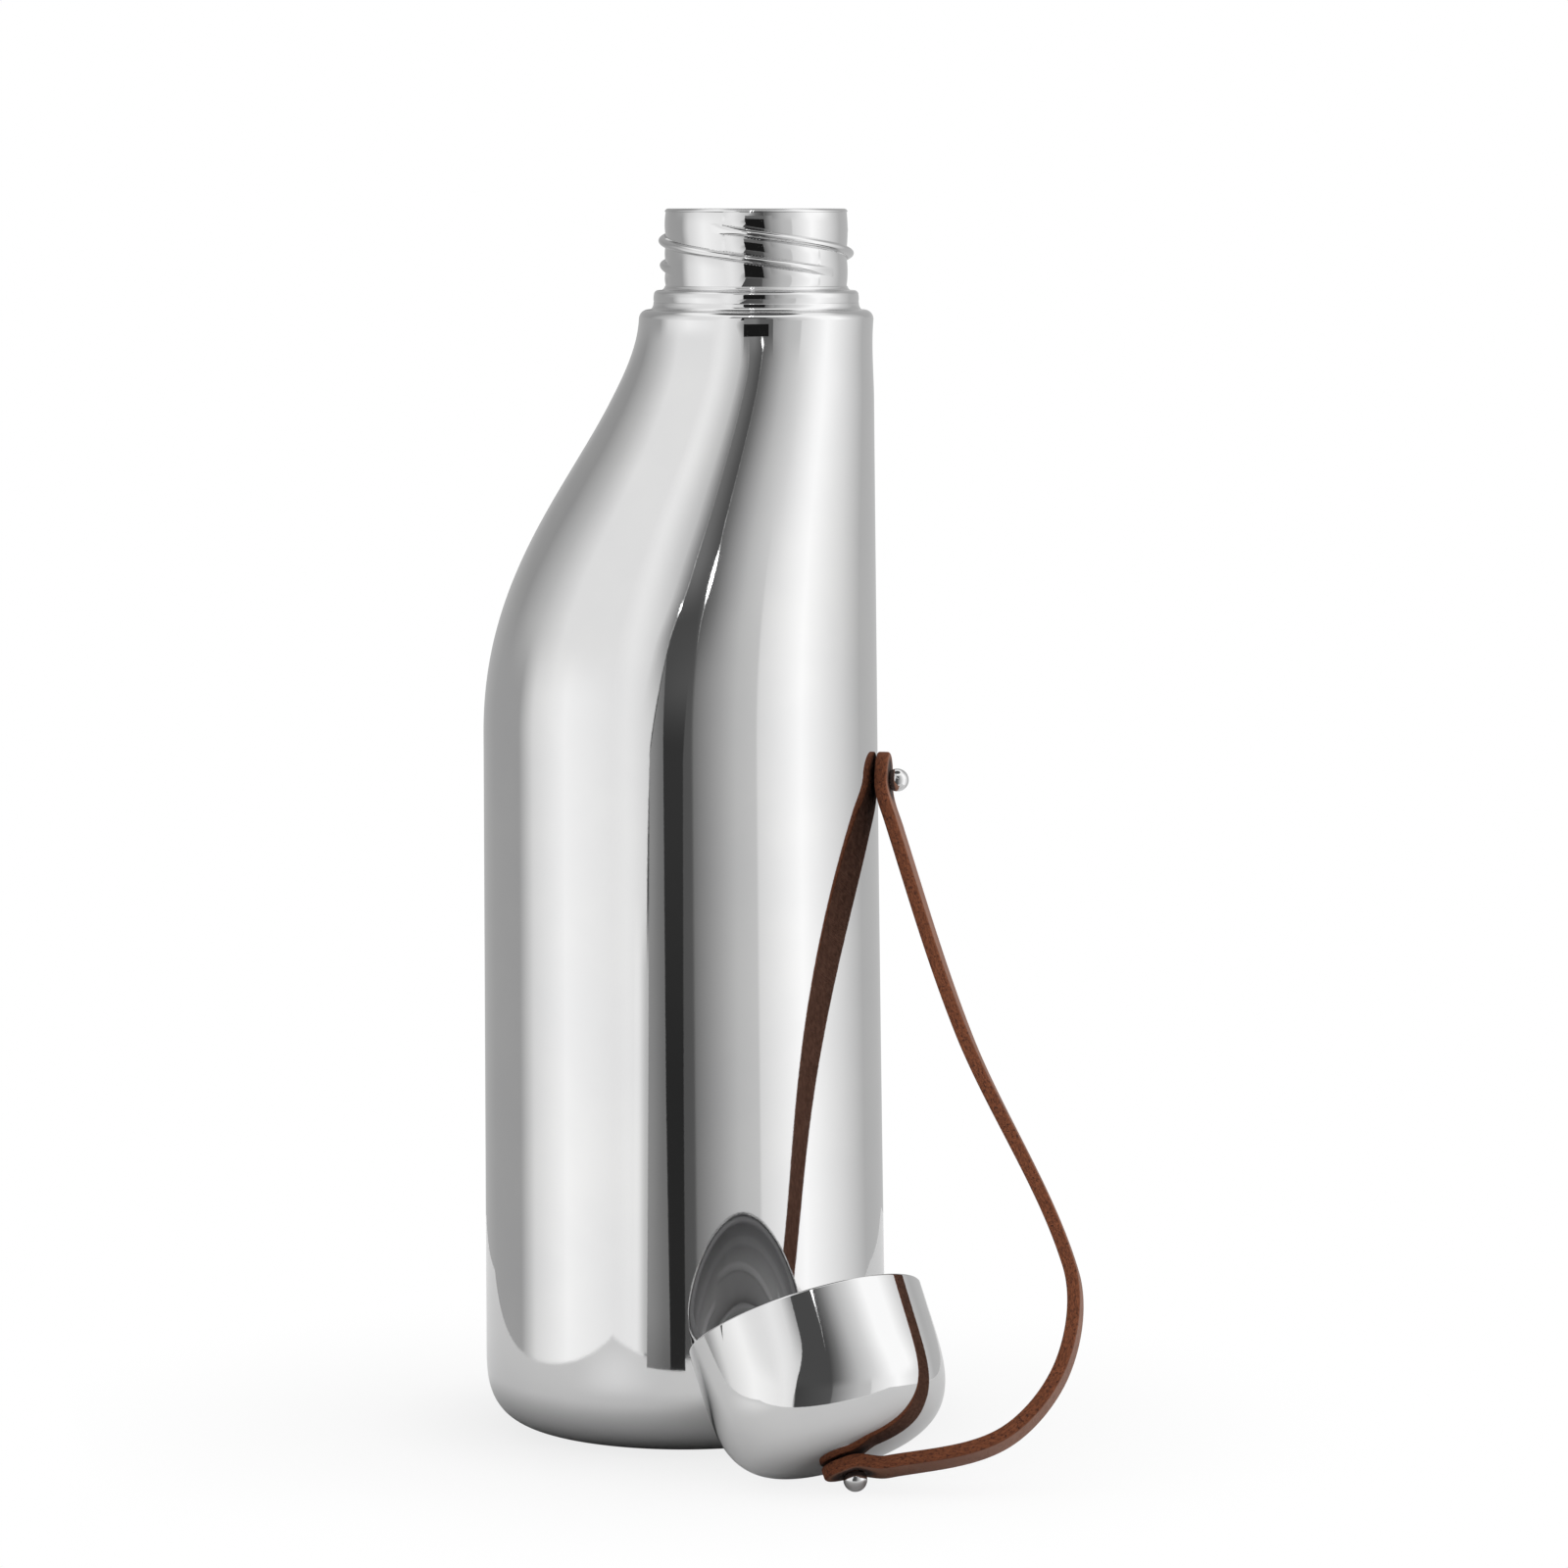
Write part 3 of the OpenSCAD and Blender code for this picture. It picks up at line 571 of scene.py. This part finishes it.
# %% Ball studs
strap_t, seat_gap, ball_lift, ball_r = 2.25, 0.2, 1.3, 2.05
ball_up = seat_gap + strap_t + ball_lift
waist_r, foot_round, shank_r, stud_z = 1.3, 0.25, 1.5, 116.7
sideways, side_x = np.array([[0, 0, -1], [0, 1, 0], [1, 0, 0]]), 34.5941
stud_place = {
    "side_stud": ("bottle", lambda p: p @ sideways + [side_x, 0, stud_z]),
    "cap_stud": ("cap", lambda p: in_cap(p + [0, 0, cap_h])),
}
shank = {"side_stud": 2.7, "cap_stud": 2.75}
under_ball = 180 - math.degrees(math.asin((waist_r + 0.18) / ball_r))
polar = np.radians(np.linspace(under_ball, 0.5, 40))
for name, (body, place) in stud_place.items():
    end = -shank[name]
    stud_outline = np.concatenate([
        [[0.0, end], [shank_r - 0.2, end], [shank_r, end + 0.2], [shank_r, 0.0]],
        arc(waist_r + foot_round, foot_round, foot_round, 270, 180, 5)[1:],
        [[waist_r, ball_up - 1.95]],
        np.stack([ball_r * np.sin(polar), ball_up + ball_r * np.cos(polar)], -1),
        [[0.0, ball_up + ball_r]]])
    stud = skin(name + "_turned", spin(stud_outline, 96, place), cap_steel, body,
                [name], sharp=50)
    print(name, len(stud.data.polygons), "faces")

# %% [markdown]
# The strap is one strip of thick leather. Its centre line starts at the side stud, hangs out in a
# loop and turns under to the stud in the cap's pole. A maker would take the line from the picture as
# a few knots and run a smooth curve through them, which is what this does. The strip's width keeps
# nearly level, so the camera sees the cut edge, and the grain side faces out.

# %% Form of the strap
strap_w, strap_twist = 10.0, 0.06
strap_top = np.array([35.9191, 0.0, stud_z])
strap_low = cap_origin + (cap_h + seat_gap + strap_t / 2) * cap_axis
knots = [[0.067, 2.2], [0.379, 16.3], [0.714, 36.4], [0.853, 35.6], [0.956, 25.7], [0.999, 6.3]]
swing, yaw = math.radians(12), math.radians(-7)
top_dir = np.array([0, -math.sin(swing), -math.cos(swing)])


def unit(v):
    return v / np.linalg.norm(v)


low_x = unit(np.array([1.0, 0, 0]) - cap_axis[0] * cap_axis)
low_dir = -(math.cos(yaw) * low_x + math.sin(yaw) * np.cross(cap_axis, low_x))
between = [strap_top + share * (strap_low - strap_top) + [out, 0, 0] for share, out in knots]
route = [strap_top] + between + [strap_low]


def route_dir(i):
    if i in (0, len(route) - 1):
        return top_dir if i == 0 else low_dir
    after, before = np.linalg.norm(route[i + 1] - route[i]), np.linalg.norm(route[i] - route[i - 1])
    return (route[i + 1] - route[i - 1]) / (after + before)


def hermite(i, t):
    """A point on the smooth curve between two stops of the route."""
    s = np.linalg.norm(route[i + 1] - route[i])
    return ((2 * t ** 3 - 3 * t * t + 1) * route[i] + (t ** 3 - 2 * t * t + t) * s * route_dir(i)
            + (3 * t * t - 2 * t ** 3) * route[i + 1] + (t ** 3 - t * t) * s * route_dir(i + 1))


dense = [hermite(i, t) for i in range(len(route) - 1) for t in np.linspace(0, 1, 60, endpoint=False)]
dense = np.array(dense + [strap_low])
along = np.concatenate([[0], np.cumsum(np.linalg.norm(np.diff(dense, axis=0), axis=1))])
strap_length = along[-1]
steps = 300
even = np.linspace(0, strap_length, steps)
line = np.stack([np.interp(even, along, dense[:, k]) for k in range(3)], -1)
tips = np.radians(np.concatenate([[4, 9], np.linspace(15, 86, 12)]))
tip_r = strap_w / 2
line = np.concatenate([[strap_top - tip_r * math.cos(a) * top_dir for a in tips], line,
                       [strap_low + tip_r * math.cos(a) * low_dir for a in tips[::-1]]])
half_w = np.concatenate([tip_r * np.sin(tips), np.full(steps, tip_r), tip_r * np.sin(tips[::-1])])
print("strap is", round(strap_length + strap_w, 1), "mm long")

# %% [markdown]
# The section is a strip with soft corners. The blade leaves the grain side rounder than the flesh
# side. Every point knows how far it lies from the cut outline, and that gives both the rounding and a
# value on the mesh, so the finish can tell the raw cut from the faces. A second value holds each
# point's place along, across and through the strip.

# %% Strap mesh
top_across = unit(np.cross([1, 0, 0], top_dir))
low_across = unit(np.cross(cap_axis, low_dir))
soft_grain, soft_flesh, half_t = 0.55, 0.4, strap_t / 2
edge_bulge, width_wobble, raw_from, raw_fade = 0.07, 0.004, 0.5, 0.3
spread = np.sin(np.radians(np.linspace(90, -90, 29)))
down_edge = np.linspace(1, 0, 8)[1:-1]
count = len(line)
u = np.linspace(0, 1, count)[:, None]
across = (1 - u) * top_across + u * low_across + strap_twist * np.sin(math.pi * u) * np.array([1, 0, 0])
across /= np.linalg.norm(across, axis=1, keepdims=True)
along_dir = np.gradient(line, axis=0)
along_dir /= np.linalg.norm(along_dir, axis=1, keepdims=True)
out_dir = np.cross(along_dir, across)
out_dir /= np.linalg.norm(out_dir, axis=1, keepdims=True)
wide_dir = np.cross(along_dir, out_dir)
past_stud = np.concatenate([tip_r * np.cos(tips), np.zeros(steps), tip_r * np.cos(tips[::-1])])[:, None]

x = half_w[:, None] * spread[None, :]
inside_by = np.maximum(tip_r - np.hypot(past_stud, x), 0)


def rounded(soft):
    return half_t - soft * (1 - np.sqrt(np.clip(1 - np.clip(1 - inside_by / soft, 0, 1) ** 2, 0, 1)))


grain_y, flesh_y = rounded(soft_grain), -rounded(soft_flesh)
edge_y = flesh_y[:, -1:] + (grain_y[:, -1:] - flesh_y[:, -1:]) * down_edge
edge_x = np.repeat(half_w[:, None], len(down_edge), axis=1) + edge_bulge * (1 - (edge_y / half_t) ** 2)
strip_x = np.concatenate([x, -edge_x, x[:, ::-1], edge_x], axis=1)
strip_y = np.concatenate([grain_y, edge_y, flesh_y[:, ::-1], edge_y[:, ::-1]], axis=1)
strip_raw = np.concatenate([inside_by, 0 * edge_y, inside_by[:, ::-1], 0 * edge_y], axis=1)
rng = np.random.default_rng(7)
wobble = np.convolve(rng.normal(size=count + 40), np.hanning(9) / 4.5, mode="same")[20:-20]
strip_x = strip_x * (1 + width_wobble * wobble[:, None])
strap_rings = (line[:, None, :] + strip_x[:, :, None] * wide_dir[:, None, :]
               + strip_y[:, :, None] * out_dir[:, None, :])
run_along = np.cumsum(np.linalg.norm(np.gradient(line, axis=0), axis=1))
strap = skin("leather_strap", strap_rings, None, "strap", ["strap"], sharp=70)

mesh_points = np.array([v.co for v in strap.data.vertices]) * 1000
tree = KDTree(strap_rings.size // 3)
for k, p in enumerate(strap_rings.reshape(-1, 3)):
    tree.insert(p, k)
tree.balance()
order = [tree.find(p)[1] for p in mesh_points]
raw_value = np.clip((raw_from - strip_raw) / raw_fade, 0, 1).reshape(-1)[order].astype(np.float32)
strip_value = np.stack([np.repeat(run_along[:, None], strip_x.shape[1], axis=1), strip_x, strip_y], -1)
strip_value = strip_value.reshape(-1, 3)[order].astype(np.float32)
values = strap.data.attributes
values.new("raw_cut", "FLOAT", "POINT").data.foreach_set("value", raw_value)
values.new("strip", "FLOAT_VECTOR", "POINT").data.foreach_set("vector", strip_value.ravel())
print("strap mesh:", len(strap.data.polygons), "faces")

# %% [markdown]
# Each end has a punched hole for the stud's waist, a short slit that lets the ball through, and a
# dent that the ball has pressed into the grain side. They are cut with solids, like a punch does.


# %% Punched holes
def punch(piece, place, slit_dir):
    """Cuts a stud hole, its slit and the dent of the ball. place carries points from the stud's frame."""
    low, high, hole_r, dent_r = -3, 8, waist_r + 0.06, ball_r + 0.08
    slit_half, slit_from, slit_to, slit_taper = 0.16, 0.4, 4.0, 0.4
    hole = spin([[0, low], [hole_r, low], [hole_r, high], [0, high]], 48)
    turn = np.radians(np.linspace(0, 180, 25))
    dent = spin(np.stack([dent_r * np.sin(turn), ball_up + dent_r * np.cos(turn)], -1), 64)
    side = np.array([-slit_dir[1], slit_dir[0], 0]) * slit_half
    ends = np.array([*slit_dir, 0])
    foot = np.array([ends * slit_from - side, ends * slit_from + side,
                     ends * slit_to + side * slit_taper, ends * slit_to - side * slit_taper])
    slit = np.stack([foot + [0, 0, low], foot + [0, 0, high]])
    for rings in (hole, dent, slit):
        cutter = skin("cutter", place(rings), None, "strap", sharp=40)
        change = piece.modifiers.new("punch", "BOOLEAN")
        change.object, change.operation, change.solver = cutter, "DIFFERENCE", "EXACT"
        done = bpy.data.meshes.new_from_object(piece.evaluated_get(bpy.context.evaluated_depsgraph_get()))
        piece.modifiers.clear()
        piece.data = done
        bpy.data.objects.remove(cutter)


punch(strap, stud_place["side_stud"][1], (-1.0, 0.0))
punch(strap, stud_place["cap_stud"][1], (1.0, 0.0))
print("punched strap:", len(strap.data.polygons), "faces")

# %% [markdown]
# Vegetable tanned leather, dyed brown. The grain side is smooth with fine pores and cross creases,
# and catches the light. The cut edge is raw: darker, dull, in fibres that run along the strip. The
# flesh side is a dull suede. One network holds all three and picks by the two mesh values. Round
# each stud the face is painted darker: partly real rubbing by the ball, partly a painted shadow of it.


# %% Leather
def strap_leather():
    material, shader, net = finish_named("strap_leather")
    shader.inputs["Specular IOR Level"].default_value = 0.22
    place = net.take("TexCoord", "Object")
    strip = net.take("Attribute", "Vector", {"attribute_name": "strip"})
    raw = net.take("Attribute", "Fac", {"attribute_name": "raw_cut"})
    through = net.take("SeparateXYZ", "Z", Vector=strip)
    flesh = through.ease(0.2, -0.2)
    patches = noise(net, place, 90, detail=4, roughness=0.6)
    mottle = noise(net, place, 700, detail=4, roughness=0.7)
    pores = net.take("TexVoronoi", "Distance", {"feature": "F1"}, Vector=place, Scale=1500.0)

    def in_strip(scale, detail, roughness):
        return noise(net, net.take("Mapping", 0, Vector=strip, Scale=scale), 1.0, detail, roughness)

    crease = in_strip((1.1, 0.16, 0.5), 3, 0.6)
    fibre = in_strip((1.2, 3.5, 5.5), 5, 0.7)
    clump = in_strip((1.6, 2.0, 2.4), 3, 0.6)
    grain_colour = patches.ease(0.3, 0.75).blend_with((0.200, 0.086, 0.050), (0.275, 0.128, 0.080))
    grain_colour = mottle.ease(0.55, 0.8).blend_with(grain_colour, (0.13, 0.05, 0.032))
    flesh_colour = mottle.ease(0.3, 0.7).blend_with((0.10, 0.045, 0.028), (0.17, 0.082, 0.055))
    edge_colour = fibre.ease(0.28, 0.72).blend_with((0.115, 0.035, 0.015), (0.275, 0.088, 0.037))
    edge_colour = clump.ease(0.50, 0.70).blend_with(edge_colour, (0.060, 0.018, 0.010))
    face_colour = flesh.blend_with(grain_colour, flesh_colour)
    # Painted shadow of each ball, with some real rubbing: the face is darker close to each stud.
    for stud in (strap_top + [half_t, 0, 0], strap_low + half_t * cap_axis):
        stud_shade_and_rub = net.take("VectorMath", "Value", {"operation": "DISTANCE"}, i0=place, i1=tuple(stud / 1000))
        face_colour = stud_shade_and_rub.ease(0.0047, 0.0030).blend_with(face_colour, (0.035, 0.016, 0.011))
    net.feed(shader.inputs["Base Color"], raw.blend_with(face_colour, edge_colour))
    face_rough = 0.52 + patches * 0.14 + flesh * 0.24
    net.feed(shader.inputs["Roughness"], face_rough * (1 - raw) + raw * 0.82)
    pore_h, crease_h, suede_h, fibre_h, clump_h = 0.00002, 0.00007, 0.00005, 0.00022, 0.00018
    face_height = pores.ease(0.0, 0.5) * pore_h * (1 - flesh) + crease.ease(0.35, 0.65) * crease_h
    face_height = face_height + mottle * suede_h * flesh
    edge_height = fibre * fibre_h + clump * clump_h
    relief(net, shader, face_height * (1 - raw) + edge_height * raw)
    return material


strap.data.materials.clear()
strap.data.materials.append(strap_leather())
for polygon in strap.data.polygons:
    polygon.material_index = 0
print("leather on", strap.name)

# %% [markdown]
# Some pieces are never seen in the closed bottle: the pressure plate with its seal and getter, the
# boss behind the side stud, and the foam and nut in the cap. Their built shapes are already right, so
# they stay as they are and only get a finish.


# %% Hidden pieces
def sealing_glass():
    material, shader, net = finish_named("sealing_glass")
    flow = noise(net, net.take("TexCoord", "Object"), 300, detail=2)
    net.feed(shader.inputs["Base Color"], flow.blend_with((0.16, 0.19, 0.17), (0.24, 0.27, 0.24)))
    shader.inputs["Transmission Weight"].default_value = 0.4
    net.feed(shader.inputs["Roughness"], 0.08 + flow * 0.12)
    return material


def getter_metal():
    material, shader, net = finish_named("getter_metal")
    grit = noise(net, net.take("TexCoord", "Object"), 2200, detail=3, roughness=0.7)
    shader.inputs["Metallic"].default_value = 0.8
    net.feed(shader.inputs["Base Color"], grit.blend_with((0.10, 0.10, 0.105), (0.26, 0.26, 0.25)))
    net.feed(shader.inputs["Roughness"], 0.6 + grit * 0.25)
    relief(net, shader, grit * 0.0001)
    return material


hidden = {"middle_base": inner_steel, "side_boss": inner_steel, "cap_nut": inner_steel,
          "seal_plug": sealing_glass(), "getter": getter_metal(), "cap_foam": foam_finish}
for name, finish in hidden.items():
    nodes[name].data.materials.clear()
    nodes[name].data.materials.append(finish)
print("finished:", ", ".join(hidden))

# %% [markdown]
# The bottle stands on a low white plinth with soft edges. Mirror steel shows the whole plinth in its
# foot, so it has real edges. Its colour holds a painted shadow, dark under the bottle where little
# light gets in, and a painted pool of light, paler to the front left. To the camera it fades to plain white.


# %% Plinth
def white_plinth():
    material, shader, net = finish_named("white_plinth")
    place = net.take("TexCoord", "Object")
    shader.inputs["Roughness"].default_value = 0.9
    shader.inputs["Specular IOR Level"].default_value = 0.1
    far = net.take("VectorMath", "Value", {"operation": "LENGTH"}, i0=place)
    # Painted pool of light: the plinth is paler to the front left of the bottle.
    off = net.take("VectorMath", "Value", {"operation": "DISTANCE"}, i0=place, i1=(-0.058, -0.090, 0.0))
    pale = off.ease(0.045, 0.0).blend_with((0.8, 0.8, 0.8), (0.98, 0.98, 0.98))
    # Painted shadow: the plinth's colour turns dark right under the bottle.
    net.feed(shader.inputs["Base Color"], far.ease(0.016, 0.062).blend_with((0.18, 0.18, 0.18), pale))
    glow = net.add("Emission", Color=(1, 1, 1, 1), Strength=1.0)
    share = net.take("LightPath", "Is Camera Ray") * far.ease(0.03, 0.13, 0.82, 1.0)
    mixed = net.add("MixShader", Fac=share)
    net.feed(mixed.inputs[1], shader.outputs[0])
    net.feed(mixed.inputs[2], glow.outputs[0])
    net.feed(material.node_tree.nodes["Material Output"].inputs["Surface"], mixed.outputs[0])
    return material


shape = bmesh.new()
plinth_h, plinth_round = 0.03, 0.002
corners = [(-0.088, -0.120), (0.200, -0.150), (0.165, 0.120),
           (0.110, 0.224), (-0.077, 0.215), (-0.133, 0.120)]
level_up = [shape.verts.new((x, y, 0)) for x, y in corners]
level_down = [shape.verts.new((x, y, -plinth_h)) for x, y in corners]
shape.faces.new(level_up)
shape.faces.new(level_down[::-1])
for k in range(len(corners)):
    shape.faces.new([level_up[k - 1], level_down[k - 1], level_down[k], level_up[k]])
bmesh.ops.recalc_face_normals(shape, faces=shape.faces)
bmesh.ops.bevel(shape, geom=shape.edges[:], offset=plinth_round, segments=4, profile=0.5, affect="EDGES")
plinth_mesh = bpy.data.meshes.new("plinth")
shape.to_mesh(plinth_mesh)
shape.free()
plinth = bpy.data.objects.new("plinth", plinth_mesh)
plinth.rotation_euler = (0, 0, camera_turn)
bpy.context.scene.collection.objects.link(plinth)
plinth_mesh.materials.append(white_plinth())
print("plinth:", [round(v, 3) for v in plinth.dimensions])

# %% [markdown]
# Polished steel is photographed in a tent of white cloth. What the steel shows is the tent: a bright
# wall on each side, its seams, and the dark gap in front that the camera looks in through. So the
# light is laid out as grey levels round the horizon, in a wall row and a high row, under a pale
# ceiling with a dark hole at the top. Each stop is a bearing from the camera in degrees and the grey,
# from 0 to 255, that the steel shows there.

# %% Light tent
steel_reflects = 0.71
wall_row = [(-180, 100), (-170, 160), (-140, 150), (-108, 150), (-95, 210), (-70, 240), (-30, 220), (-29, 60),
            (7, 80), (8, 110), (33, 180), (45, 190), (46, 210), (75, 250), (107, 210), (130, 170), (170, 170)]
high_row = [(-180, 150), (-130, 140), (-105, 180), (-80, 220), (-30, 220), (-29, 70), (6, 70), (15, 110),
            (33, 180), (50, 210), (70, 250), (92, 250), (115, 200), (140, 160)]
ceiling, zenith, below_table = 238, 70, 55


def level(grey):
    """Light level that polished steel shows as this grey from 0 to 255."""
    return ((grey / 255 + 0.055) / 1.055) ** 2.4 / steel_reflects


def sine(degrees):
    return math.sin(math.radians(degrees))


world = bpy.data.worlds.new("light_tent")
bpy.context.scene.world = world
world.use_nodes = True
world.node_tree.nodes.clear()
net = Val(world.node_tree, None)
direction = net.take("TexCoord", "Generated")
to_camera = (math.sin(camera_turn), -math.cos(camera_turn), 0)
to_right = (math.cos(camera_turn), math.sin(camera_turn), 0)
ahead = net.take("VectorMath", "Value", {"operation": "DOT_PRODUCT"}, i0=direction, i1=to_camera)
aside = net.take("VectorMath", "Value", {"operation": "DOT_PRODUCT"}, i0=direction, i1=to_right)
up = net.take("SeparateXYZ", "Z", Vector=direction)
bearing = aside.math("ARCTAN2", aside, ahead) / (2 * math.pi) + 0.5
rows = [net.take("ValToRGB", "Color", {"stops": [((a + 180) / 360, level(g)) for a, g in row]}, Fac=bearing)
        for row in (wall_row, high_row)]
tent = up.ease(sine(2), sine(14)).blend_with(rows[0], rows[1])
path = net.add("LightPath")
mirrored = Val(net.tree, path.outputs["Is Glossy Ray"]).math("MAXIMUM", path.outputs["Is Glossy Ray"],
                                                             path.outputs["Is Transmission Ray"])
tent = up.ease(sine(42), sine(58)).blend_with(tent, (level(ceiling),) * 3)
tent = (up.ease(sine(64), sine(72)) * mirrored).blend_with(tent, (level(zenith),) * 3)
tent = (up.ease(sine(-35), sine(-50)) * mirrored).blend_with(tent, (level(below_table),) * 3)
soft_light = 1.5 - up * 0.6
lit = net.add("Background", Color=tent, Strength=soft_light * (1 - mirrored) + mirrored)
white = net.add("Background", Color=(1, 1, 1, 1), Strength=1.0)
shown = net.add("MixShader", Fac=path.outputs["Is Camera Ray"])
net.feed(shown.inputs[1], lit.outputs[0])
net.feed(shown.inputs[2], white.outputs[0])
net.feed(net.add("OutputWorld").inputs["Surface"], shown.outputs[0])
print("tent of", len(rows), "rows")

# %% [markdown]
# The front of the tent hangs close to the bottle: two lengths of cloth with a slit between them. The
# left one has a slanting edge, so the slit bends as it climbs, and above the camera the slit is
# closed by a thinner grey cloth. The cut edges catch the light as fine bright lines. Nearer still
# hang a white, a grey and a black board for the body, and small dark shapes for shoulder and neck.
# All of them are there for the steel alone, so only mirrored rays meet them.

# %% Front of the tent
front_y = -0.300
slit_z = np.linspace(-0.08, 0.42, 101)
left_edge = np.interp(slit_z, [-0.05, 0.08, 0.16, 0.20, 0.24, 0.30],
                      [-0.120, -0.095, -0.060, -0.045, -0.015, 0.005])
right_edge = np.interp(slit_z, [0.15, 0.20, 0.25, 0.30], [0.035, 0.040, 0.060, 0.065])
soften = np.hanning(7) / np.hanning(7).sum()
left_edge, right_edge = (np.convolve(np.pad(edge, 3, mode="edge"), soften, mode="valid")
                         for edge in (left_edge, right_edge))


def for_steel(name, verts, faces, finish, place=(0, 0, 0)):
    """A stage object that only mirrored rays meet, in the frame that faces the camera."""
    mesh = bpy.data.meshes.new(name)
    mesh.from_pydata(verts, [], faces)
    mesh.materials.append(finish)
    card = bpy.data.objects.new(name, mesh)
    card.rotation_euler = (0, 0, camera_turn)
    card.location = Matrix.Rotation(camera_turn, 3, "Z") @ Vector(place)
    card.visible_camera = card.visible_diffuse = card.visible_shadow = False
    bpy.context.scene.collection.objects.link(card)
    return card


def cloth_strip(name, left, right, z, y, finish):
    """An upright strip between two edges. Its value "across" runs from 0 at the left to 1 at the right."""
    count = len(z)
    verts = [(x, y, h) for side in (left, right) for x, h in zip(side, z)]
    faces = [(k, k + 1, count + k + 1, count + k) for k in range(count - 1)]
    strip = for_steel(name, verts, faces, finish)
    across = strip.data.attributes.new("across", "FLOAT", "POINT")
    across.data.foreach_set("value", [0.0] * count + [1.0] * count)
    return strip


def glow(name, strength, share=lambda x, z, w: 1):
    """A glow on the side that faces the bottle. Both functions take the Vals x, z and across of the strip."""
    material = bpy.data.materials.new(name)
    material.use_nodes = True
    material.node_tree.nodes.remove(material.node_tree.nodes["Principled BSDF"])
    net = Val(material.node_tree, None)
    place = net.take("TexCoord", "Object")
    x, z = (net.take("SeparateXYZ", axis, Vector=place) for axis in "XZ")
    w = net.take("Attribute", "Fac", {"attribute_name": "across"})
    shown = net.add("Emission", Color=(1, 1, 1, 1), Strength=strength(x, z, w))
    seen = net.add("MixShader", Fac=share(x, z, w) * (1 - net.take("NewGeometry", "Backfacing")))
    net.feed(seen.inputs[1], net.add("BsdfTransparent").outputs[0])
    net.feed(seen.inputs[2], shown.outputs[0])
    net.feed(material.node_tree.nodes["Material Output"].inputs["Surface"], seen.outputs[0])
    return material


def swelling(z, middle, reach):
    """1 at a middle height, easing to 0 at its reach above and below."""
    return z.ease(middle - reach, middle) * z.ease(middle + reach, middle)


left_cloth = glow("left_cloth", lambda x, z, w: x.ease(-0.17, 0.0, level(228), level(180)),
                  lambda x, z, w: x.ease(-0.26, -0.165))
fold_shade = glow("fold_shade", lambda x, z, w: level(116), lambda x, z, w: w * z.ease(0.12, 0.225))
thin_cloth = glow("thin_cloth", lambda x, z, w: x.ease(0.0, 0.065, level(106), level(76)),
                  lambda x, z, w: z.ease(0.205, 0.26))
cloth_strip("left_cloth", np.full_like(left_edge, -0.30), left_edge, slit_z, front_y, left_cloth)
cloth_strip("fold_shade", left_edge - 0.045, left_edge, slit_z, front_y + 0.0005, fold_shade)
cloth_strip("slit_cloth", left_edge, right_edge, slit_z, front_y - 0.001, thin_cloth)
cut_edges = (("left", left_edge, 0.0007, 0.223, 0.007), ("right", right_edge, 0.0042, 0.235, 0.023))
for side, edge, wide, bright_z, reach in cut_edges:
    half = 0.0005 + wide * np.clip(1 - ((slit_z - bright_z) / reach) ** 2, 0, 1)
    finish = glow(side + "_cut", lambda x, z, w: level(215) + swelling(z, bright_z, reach) * 9,
                  lambda x, z, w: z.ease(0.17, 0.21) * z.ease(0.30, 0.262, 0.3, 1))
    cloth_strip(side + "_cut", edge - half, edge + half, slit_z, front_y + 0.001, finish)

# Three boards close to the body sharpen the edges of the gap there. The cap stands clear of them.
board_y = -0.066
board_z = np.array([0.010, 0.060, 0.120, 0.146])
grey_left = np.array([-0.018, -0.0165, -0.015, -0.008])
grey_right = np.array([-0.006, -0.0075, -0.008, -0.008])
black_right = np.array([0.001, 0.001, 0.0015, 0.0045])
grey_board = glow("grey_board",
                  lambda x, z, w: w.ease(0, 1, level(134), level(108)) * z.ease(0.009, 0.022, 0.75, 1))
black_board = glow("black_board", lambda x, z, w: z.ease(0.05, 0.13, level(38), level(50)),
                   lambda x, z, w: z.ease(0.140, 0.122))
white_board = glow("white_board", lambda x, z, w: w.ease(0.2, 1, level(228), level(176)),
                   lambda x, z, w: z.ease(0.098, 0.08) * z.ease(0.0120, 0.0128))
cloth_strip("white_board", grey_left - 0.008, grey_left, board_z, board_y, white_board)
cloth_strip("grey_board", grey_left, grey_right, board_z, board_y, grey_board)
cloth_strip("black_board", grey_right, black_right, board_z, board_y, black_board)

# Shoulder and neck show the camera as small black squares in grey, with two bright chinks above.
camera_black = glow("camera_black", lambda x, z, w: level(24))
camera_grey = glow("camera_grey", lambda x, z, w: w.ease(0.65, 1, level(98), level(150)))
shoulder_grey = glow("shoulder_grey", lambda x, z, w: w.ease(0.35, 0.6, level(120), level(90)),
                     lambda x, z, w: z.ease(0.192, 0.197))
chink = glow("chink", lambda x, z, w: 3.5)
for name, left, right, low, high, y, finish in (
        ("camera_low", 0.0105, 0.0155, 0.196, 0.198, -0.0240, camera_black),
        ("shoulder_cloth", 0.0105, 0.0165, 0.192, 0.200, -0.0243, shoulder_grey),
        ("camera_high", 0.003, 0.020, 0.204, 0.2195, -0.0500, camera_black),
        ("camera_cloth", 0.003, 0.028, 0.203, 0.226, -0.0505, camera_grey),
        ("wide_chink", 0.007, 0.008, 0.232, 0.290, -0.0500, chink),
        ("thin_chink", 0.010, 0.0105, 0.232, 0.290, -0.0500, chink)):
    cloth_strip(name, [left, left], [right, right], [low, high], y, finish)
print("front of the tent hung")
